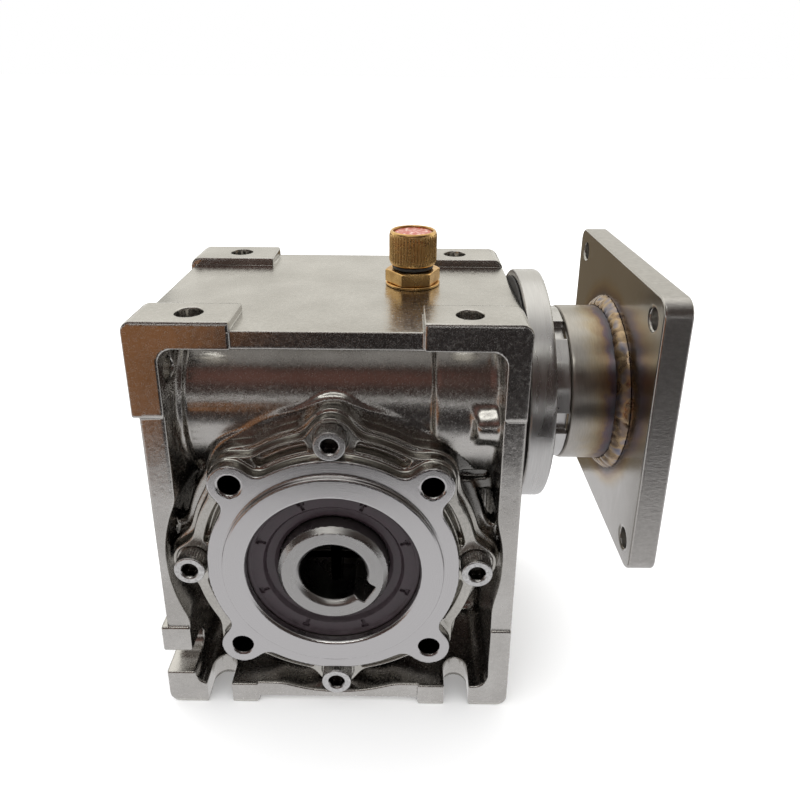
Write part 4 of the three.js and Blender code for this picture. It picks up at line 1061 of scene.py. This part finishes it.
def plate_steel():
    """Plate with a fine upright brush, sawn edges, and a heat tint round the weld."""
    paint = Paint("plate steel")
    radius, _ = paint.round_axis("x", ON_WORM)
    middle = sum(PLATE_X) / 2
    half = (PLATE_X[1] - PLATE_X[0]) / 2
    face = paint.fade(paint.size(paint.x, middle), half - 0.5, half - 0.2)
    edge = paint.calc("SUBTRACT", 1.0, face)
    brush = paint.noise(0.35, 2.0, 0.6, paint.scaled(1.0, 1.0, 0.05))
    patch = paint.noise(11.0, 3.0, 0.55)
    saw = paint.noise(0.9, 3.0, 0.65, paint.scaled(0.6, 1.0, 1.0))
    steel = paint.mix(patch, (0.42, 0.405, 0.38), (0.51, 0.495, 0.475))
    steel = paint.mottled(steel, brush, 0.93, 1.06)
    sawn = paint.mix(saw, (0.32, 0.305, 0.29), (0.58, 0.565, 0.54))
    near = paint.calc("ADD", radius, paint.calc("MULTIPLY_ADD", patch, 4.0, -2.0))
    heat = paint.ramp(
        paint.fade(near, 25.0, 33.0), (0.0, (0.42, 0.42, 0.54)), (0.25, (0.66, 0.50, 0.40)),
        (0.55, (0.96, 0.82, 0.62)), (1.0, (1.0, 1.0, 1.0)),
    )
    color = paint.mix(face, sawn, paint.tinted(steel, heat))
    paint.bump(paint.product(saw, edge), 0.06)
    paint.bump(paint.product(brush, face), 0.010)
    return paint.done(color, paint.mix(face, (0.34, 0.34, 0.34), (0.17, 0.17, 0.17)))


def brass():
    """Brass that has begun to tarnish."""
    paint = Paint("brass")
    stains = paint.noise(3.0, 3.0, 0.6)
    fine = paint.noise(0.4, 2.0)
    color = paint.ramp(stains, (0.3, (0.56, 0.34, 0.13)), (0.7, (0.84, 0.55, 0.23)))
    color = paint.shade(color, paint.fade(fine, 0.3, 0.7, 0.92, 1.06))
    paint.bump(fine, 0.012)
    return paint.done(color, paint.fade(stains, 0.3, 0.7, 0.34, 0.22))


def vent_mark():
    """The red disc, worn pale in places."""
    paint = Paint("vent mark", metallic=0.0)
    worn = paint.fade(paint.noise(1.1, 3.0, 0.6), 0.50, 0.60)
    color = paint.mix(worn, (0.43, 0.085, 0.06), (0.66, 0.46, 0.41))
    paint.bump(worn, 0.03)
    return paint.done(color, paint.fade(worn, 0.0, 1.0, 0.30, 0.5))


def rubber(name, film_size, low, high, grain_size, smooth, dull):
    """Rubber with a film of grease or dust that changes its colour and its shine."""
    paint = Paint(name, metallic=0.0)
    film_and_painted_shade = paint.noise(film_size, 3.0, 0.6)
    color = paint.ramp(film_and_painted_shade, (0.3, low), (0.7, high))
    paint.bump(paint.noise(grain_size, 2.0), 0.02)
    return paint.done(color, paint.fade(film_and_painted_shade, 0.3, 0.7, smooth, dull))


def gasket_fibre():
    paint = Paint("gasket fibre", metallic=0.0)
    fibres = paint.noise(0.5, 3.0, 0.6, paint.scaled(1.0, 1.0, 0.3))
    color = paint.ramp(fibres, (0.3, (0.025, 0.024, 0.023)), (0.7, (0.060, 0.058, 0.055)))
    paint.bump(fibres, 0.03)
    return paint.done(color, 0.75)


def ground_steel(name, low, high):
    """Ground steel or bronze of the parts inside, with a light film of oil."""
    paint = Paint(name)
    film_and_painted_shade = paint.noise(4.0, 3.0, 0.55)
    lines = paint.noise(0.3, 2.0, 0.6, paint.scaled(1.0, 0.2, 1.0))
    color = paint.mottled(paint.mix(film_and_painted_shade, low, high), lines, 0.93, 1.05)
    paint.bump(lines, 0.008)
    return paint.done(color, paint.fade(film_and_painted_shade, 0.3, 0.7, 0.14, 0.26))


# ---- the pieces

COARSE = 1.0
BODY_OF = {
    node: body for body, nodes in frame["record"]["behaviour"]["bodies"].items() for node in nodes
}
SLOT_OF = {row["node"]: row["material_slot"] for row in frame["record"]["subparts"]}

ROUND_WORM = turned_steel("turned steel round the worm", "x", ON_WORM, 0.85, 7.0)
LOOKS = {
    "cast_steel": cast_steel(),
    "machined_steel": ROUND_WORM,
    "plate_steel": plate_steel(),
    "screw_steel": screw_steel(),
    "weld": weld_steel(),
    "worm_steel": ROUND_WORM,
    "bearing_steel": ground_steel("bearing steel", (0.60, 0.61, 0.62), (0.74, 0.75, 0.76)),
    "bronze": ground_steel("bronze", (0.52, 0.32, 0.13), (0.70, 0.46, 0.20)),
    "brass": brass(),
    "vent_mark": vent_mark(),
    "seal_rubber": rubber(
        "greased purple rubber", 2.5, (0.020, 0.013, 0.016), (0.036, 0.023, 0.029), 0.5, 0.30, 0.52
    ),
    "black_rubber": rubber(
        "dusty black rubber", 1.5, (0.012, 0.012, 0.012), (0.028, 0.028, 0.027), 0.4, 0.45, 0.65
    ),
    "gasket": gasket_fibre(),
}


def make(node, field, step, faces, look=None):
    """Makes the detailed piece that stands for a CAD node, on a grid of step mm, thinned to faces."""
    low, high = span(node)
    piece = mesh_field(node + "_looks", field, low, high, step * COARSE, faces)
    piece.data.materials.append(look or LOOKS[SLOT_OF[node]])
    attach(piece, BODY_OF[node])
    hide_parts(node)


for name, cad in frame["nodes"].items():
    cad.data.materials.clear()
    cad.data.materials.append(LOOKS[SLOT_OF[name]])

make("housing", housing, 0.5, 190_000)
make("output_cover", output_cover, 0.4, 150_000, cover_steel())
for i, (x, z) in enumerate(SCREWS):
    head_top = span("cover_screw_1")[0][1]
    make(f"cover_screw_{i + 1}", screw_field("y", -1, (x, 0, z), head_top, 18.0), 0.2, 30_000)
make("output_seal_front", lip_seal(-1), 0.25, 60_000)
make("output_seal_rear", lip_seal(1), 0.25, 60_000)
SHAFT_STEEL = turned_steel("turned steel round the output", "y", (0, 0, 0), 0.62, BORE_R)
make("output_shaft", output_shaft, 0.30, 150_000, SHAFT_STEEL)
make("worm_shaft", worm_shaft, 0.3, 90_000)
make("worm_end_cap", end_cap, 0.4, 20_000)
make("input_seal", input_seal, 0.3, 20_000)
make("flange_gasket", gasket, 0.3, 20_000)
make("input_flange_ring", flange_ring, 0.4, 70_000)
for i, (dy, dz) in enumerate([(1, 1), (-1, 1), (-1, -1), (1, -1)]):
    at = (0, dy * FLANGE_SCREW, WORM_Z + dz * FLANGE_SCREW)
    head_top = span("flange_screw_1")[1][0]
    make(f"flange_screw_{i + 1}", screw_field("x", 1, at, head_top, 8.5), 0.25, 16_000)
make("tube_collar", collar, 0.3, 40_000)
make("motor_tube", tube, 0.35, 40_000, tube_steel())
make("weld_bead", weld, 0.25, 90_000)
make("motor_plate", plate, 0.3, 90_000)
make("vent_base", vent_base, 0.2, 20_000)
make("vent_cap", vent_cap, 0.15, 60_000)
make("vent_disc", vent_disc, 0.15, 8_000)
make("vent_washer", vent_washer, 0.2, 8_000)
make("vent_o_ring", vent_ring, 0.15, 8_000)

# ---- stage, light and camera


def stage_sheet(name, x, y, z, look, tilt=0.0):
    """A sheet of the stage, given by its limits in X and Y, in metres. It rises by tilt along Y."""
    corners = [(x[0], y[0], z), (x[1], y[0], z), (x[1], y[1], z + tilt), (x[0], y[1], z + tilt)]
    mesh = bpy.data.meshes.new(name)
    mesh.from_pydata(corners, [], [(0, 1, 2, 3)])
    mesh.materials.append(look)
    sheet = add(name, mesh)
    sheet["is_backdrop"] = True
    return sheet


def card(*limits):
    """A sheet that only reflections see."""
    sheet = stage_sheet(*limits)
    sheet.visible_camera = False
    sheet.visible_diffuse = False
    sheet.visible_shadow = False


def glow(name, color):
    """A plain surface that gives off an even light."""
    material = bpy.data.materials.new(name)
    material.use_nodes = True
    tree = material.node_tree
    tree.nodes.remove(tree.nodes["Principled BSDF"])
    light = add_node(tree, "Emission", {"Color": (*color, 1)})
    fill_in(tree.nodes["Material Output"], {0: light})
    return material


def floor():
    paint = Paint("pale floor", metallic=0.0)
    mottle = paint.noise(60.0, 2.0)
    color = paint.mix(mottle, (0.93, 0.93, 0.93), (0.95, 0.95, 0.95))
    paint.shader.inputs["Specular IOR Level"].default_value = 0.0
    stage_sheet("floor", (-FLOOR, FLOOR), (-FLOOR, FLOOR), 0, paint.done(color, 0.7))


def surroundings():
    """Reflections see a bright room behind the object and a dark one in front. The rest is white."""
    world = bpy.data.worlds.new("studio")
    world.use_nodes = True
    tree = world.node_tree
    tree.nodes.clear()
    ray = add_node(tree, "LightPath", {}).node.outputs
    across = add_node(tree, "SeparateXYZ", {0: add_node(tree, "TexCoord", {}, "Generated")}, "Y")
    half = add_node(tree, "Math", {0: across, 1: 0.5, 2: 0.5}, operation="MULTIPLY_ADD")
    room = add_ramp(tree, half, (0.36, DARK_ROOM), (0.62, BRIGHT_ROOM))
    room = add_mix(tree, ray["Is Diffuse Ray"], room, (SOFT_LIGHT, SOFT_LIGHT, SOFT_LIGHT))
    room = add_mix(tree, ray["Is Camera Ray"], room, (1, 1, 1))
    background = add_node(tree, "Background", {"Color": room})
    add_node(tree, "OutputWorld", {0: background})
    bpy.context.scene.world = world


def sky_light():
    """A very wide soft light from above, a little behind."""
    lamp = bpy.data.lights.new("sky", "SUN")
    lamp.energy = SKY_STRENGTH
    lamp.angle = math.radians(90)
    add("sky", lamp).rotation_euler = (math.radians(-8), math.radians(-6), 0)


def camera():
    data = bpy.data.cameras.new("camera")
    obj = add("camera", data)
    yaw, pitch, roll = (math.radians(angle) for angle in CAMERA_ANGLES)
    level = math.cos(pitch)
    forward = Vector((math.sin(yaw) * level, math.cos(yaw) * level, math.sin(pitch)))
    facing = forward.to_track_quat("-Z", "Y").to_matrix().to_4x4()
    obj.matrix_world = Matrix.Translation(CAMERA_AT) @ facing @ Matrix.Rotation(roll, 4, "Z")
    data.lens = CAMERA_LENS
    data.shift_y = CAMERA_SHIFT
    data.clip_start = 0.01
    bpy.context.scene.camera = obj


FLOOR = 12.0
DARK_ROOM = (0.050, 0.037, 0.033)
BRIGHT_ROOM = (0.95, 0.93, 0.86)
SOFT_LIGHT = 1.45
SKY_STRENGTH = 0.6
CAMERA_AT = (0.0006, -0.1843, 0.1793)
CAMERA_ANGLES = (-0.39, -19.19, 0.41)  # yaw, pitch and roll in degrees
CAMERA_LENS = 30.1
CAMERA_SHIFT = -0.125

floor()
surroundings()
sky_light()
DARK = glow("dark room", (0.026, 0.022, 0.022))
BROWN = glow("brown table", (0.20, 0.16, 0.11))
ORANGE = glow("orange wood", (0.33, 0.15, 0.063))
WARM = glow("warm wall", (0.17, 0.085, 0.07))
PALE = glow("pale table", (0.78, 0.775, 0.785))
LAMP = glow("lamp above", (3.2, 3.2, 3.05))
card("dark table in front", (-1.5, 1.5), (-1.6, -0.150), 0.002, DARK)
card("pale table round the object", (-1.5, 1.5), (-0.150, 0.085), 0.001, PALE)
card("lamp above in front", (-1.2, 0.35), (-1.25, -0.95), 1.6, LAMP)
card("orange table at the left", (-1.2, -0.125), (-0.62, -0.145), 0.003, ORANGE)
card("brown wall in front", (-1.3, 0.1), (-1.001, -1.0), 0.40, WARM, 0.36)
card("brown table behind", (-1.5, 1.5), (0.085, 1.6), 0.002, BROWN)
camera()
bpy.context.scene.view_settings.view_transform = "Standard"

boxes = {"cad": CAD_BOX, "visual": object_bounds()}
{name: [list(low), list(high)] for name, (low, high) in boxes.items()}
